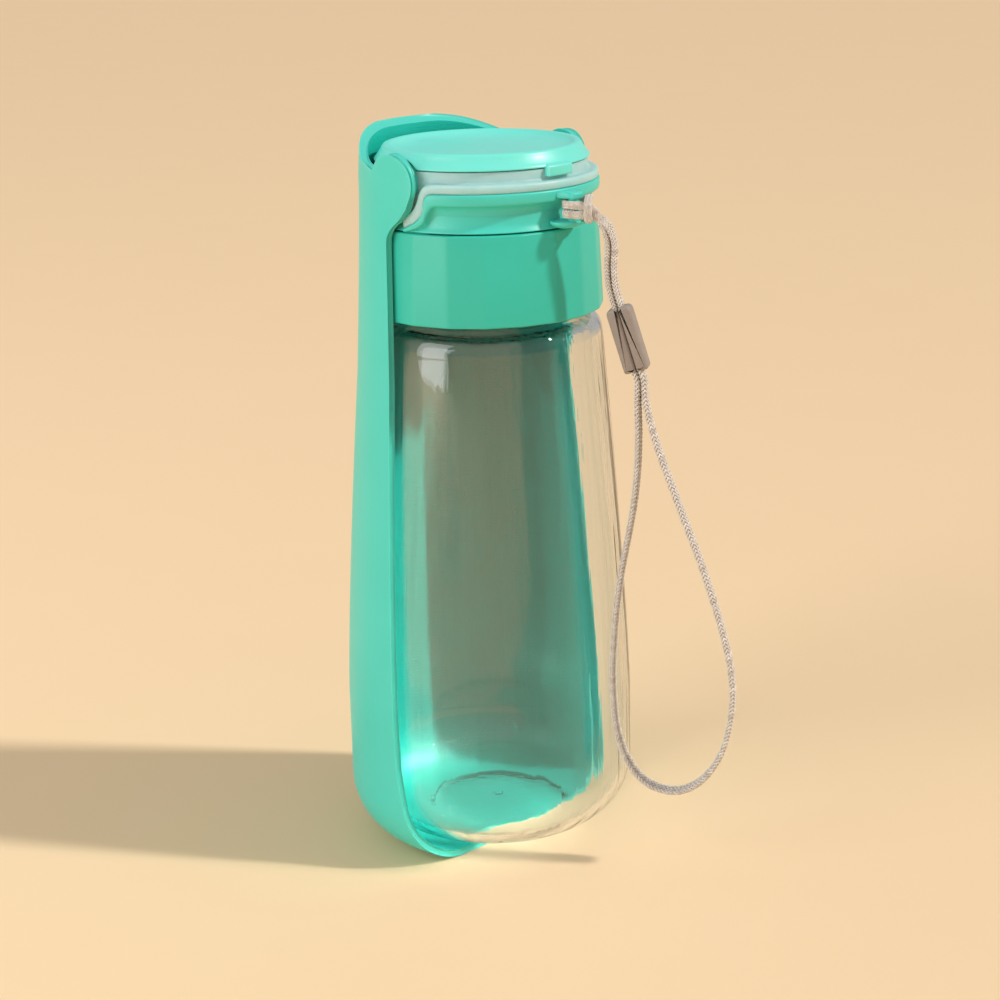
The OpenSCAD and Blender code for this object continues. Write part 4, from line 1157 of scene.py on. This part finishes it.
# Lid
def lid_outline():
    dish_z = Z_LID_TOP - 1.9
    under = dish_z - 1.3
    return ([(0, dish_z)] + [(r, dish_z) for r in (6, 12, 17)]
            + bend((18.7, dish_z), (23.8, dish_z), (25.6, Z_LID_TOP - 0.55), 9)
            + bend((25.9, Z_LID_TOP - 0.3), (26.5, Z_LID_TOP), (27.2, Z_LID_TOP - 0.12), 5)
            + bend((27.5, Z_LID_TOP - 0.2), (28.0, Z_LID_TOP - 0.5), (28.25, Z_LID_TOP - 1.2), 5)
            + [(28.75, Z_LID_TOP - 2.0), (29.3, Z_LID_TOP - 2.8), (29.85, Z_LID_TOP - 3.5)]
            + bend((30.25, Z_LID + 0.5), (30.45, Z_LID), (29.9, Z_LID), 5)
            + [(28.6, Z_LID + 0.02), (27.3, Z_LID + 0.02), (27.2, Z_LID + 0.2), (27.2, under), (14, under),
               (0, under)])


def lid_edge(r, z, angle):
    """The lid's lower edge rises over the two hubs and at the back over the hinge's knuckle."""
    if r < 26 or z > Z_LID_TOP - 0.35:
        return r, z
    x, y = r * cos(angle), r * sin(angle)
    low = Z_LID
    if abs(x) < HUB_R + 0.5:
        low = max(low, Z_PIVOT + sqrt((HUB_R + 0.5) ** 2 - x * x))
    if x < 0 and abs(y) < 5.2:
        low = max(low, Z_LID_TOP - 1.2)
    top = Z_LID_TOP - 0.35
    return r, top - (top - z) * (top - low) / (top - Z_LID)


def finger_tab():
    """Small tab under the front of the lid's edge."""
    inner, outer, low, high = LID_R - 0.9, LID_R + 1.2, Z_LID - 2.4, Z_LID + 0.9
    section = softened([(inner, low, 0.2), (outer, low, 0.6), (outer, high - 0.3, 0.7), (inner, high, 0.2)],
                       4)
    half_width = 9.4 / 2 / outer
    stations = []
    for share in np.linspace(-1, 1, 25):
        close = sqrt(max(1 - max(abs(share) - 0.9, 0) ** 2 / 0.01, 0.02))
        ring = []
        for r, z in section:
            rr = inner + (r - inner) * (0.55 + 0.45 * close)
            zz = (low + high) / 2 + (z - (low + high) / 2) * (0.75 + 0.25 * close)
            ring.append(spot(rr, share * half_width, zz))
        stations.append(ring)
    return banded(stations)


def lid_bosses():
    parts = []
    for side in (-1, 1):
        outline = [(r, side * y) for r, y in softened([
            (1.12, 5.25, 0), (2.15, 5.25, 0.35), (2.15, 11.5, 0.35), (1.12, 11.5, 0)], 3)]
        parts.append(bar_on_y(outline, -LID_HINGE_X, Z_LID_PIN, 40))
    return joined(*parts)


# The lid takes the lighter mint, partly painted light for its top.
make_piece("lid", joined(turned(lid_outline(), 240, lid_edge), finger_tab(), lid_bosses()), [MINT_LID], "lid",
           ["lid_cap"], sharp=50)


def lid_liner():
    r, back = 26.75, -(LID_HINGE_X - 3)
    edge = [(r * cos(a), r * sin(a)) for a in np.linspace(-acos(back / r), acos(back / r), 120)]
    return prism(edge, Z_LID + 0.02, Z_LID + 1.2, 0.25)


def lid_plug():
    return turned(softened([
        (0, Z_LID - 0.6, 0), (19.2, Z_LID - 0.6, 0.6), (19.0, Z_LID - 3.1, 0.3), (20.1, Z_LID - 3.1, 0.4),
        (20.8, Z_LID - 1.3, 0.3), (20.8, Z_LID - 0.8, 0.2), (23.4, Z_LID - 0.8, 0.3), (23.4, Z_LID, 0.2),
        (0, Z_LID, 0)], 4), 128)


make_piece("lid_liner_plate", lid_liner(), [NATURAL], "lid", ["lid_liner"])
make_piece("lid_stopper", lid_plug(), [SILICONE], "lid", ["lid_plug"])


# Small turned pieces keep their modelled shape and get their finish
for node_name, finish in (("neck_gasket", SILICONE), ("pivot_oring_left", RUBBER), ("pivot_oring_right",
    RUBBER),
                          ("pivot_pin_left", STEEL), ("pivot_pin_right", STEEL), ("lid_hinge_pin", STEEL)):
    kept = NODES[node_name]
    kept.data.materials.clear()
    kept.data.materials.append(finish)


# Floor and light
def studio_paper():
    """Sheet of matt studio paper: an even warm peach."""
    material, surface, _ = new_material("studio_paper", Roughness=0.9)
    tinted(material, surface, noise(material, 60, 3), "#EDCFA6", "#EFD1A9")
    return material


def make_floor():
    mesh = bpy.data.meshes.new("floor")
    mesh.from_pydata([(-12, -12, 0), (12, -12, 0), (12, 12, 0), (-12, 12, 0)], [], [(0, 1, 2, 3)])
    mesh.materials.append(studio_paper())
    floor = bpy.data.objects.new("floor", mesh)
    bpy.context.scene.collection.objects.link(floor)


def aim(lamp, azimuth, elevation, distance, target=(0, 0, 0.1)):
    a, e = radians(azimuth), radians(elevation)
    back = Vector((sin(a) * cos(e), -cos(a) * cos(e), sin(e)))
    lamp.location = Vector(target) + back * distance
    lamp.rotation_mode = "QUATERNION"
    lamp.rotation_quaternion = (-back).to_track_quat("-Z", "Y")
    bpy.context.scene.collection.objects.link(lamp)


def make_light():
    sun = bpy.data.lights.new("key", "SUN")
    sun.energy, sun.angle, sun.color = 2.3, radians(4), (1.0, 0.97, 0.93)
    aim(bpy.data.objects.new("key", sun), VIEW_AZIMUTH + 80, 40, 3)
    card = bpy.data.lights.new("left_card", "AREA")
    card.shape, card.size, card.size_y, card.energy, card.color = "RECTANGLE", 0.8, 1.6, 15, (1.0, 1.0, 1.0)
    aim(bpy.data.objects.new("left_card", card), VIEW_AZIMUTH - 55, 18, 1.5)
    world = bpy.data.worlds.new("studio")
    bpy.context.scene.world = world
    world.use_nodes = True
    world.node_tree.nodes["Background"].inputs["Color"].default_value = colour("#EDEAE8")
    world.node_tree.nodes["Background"].inputs["Strength"].default_value = 0.52


make_floor()
make_light()
bpy.context.scene.view_settings.view_transform = "Standard"
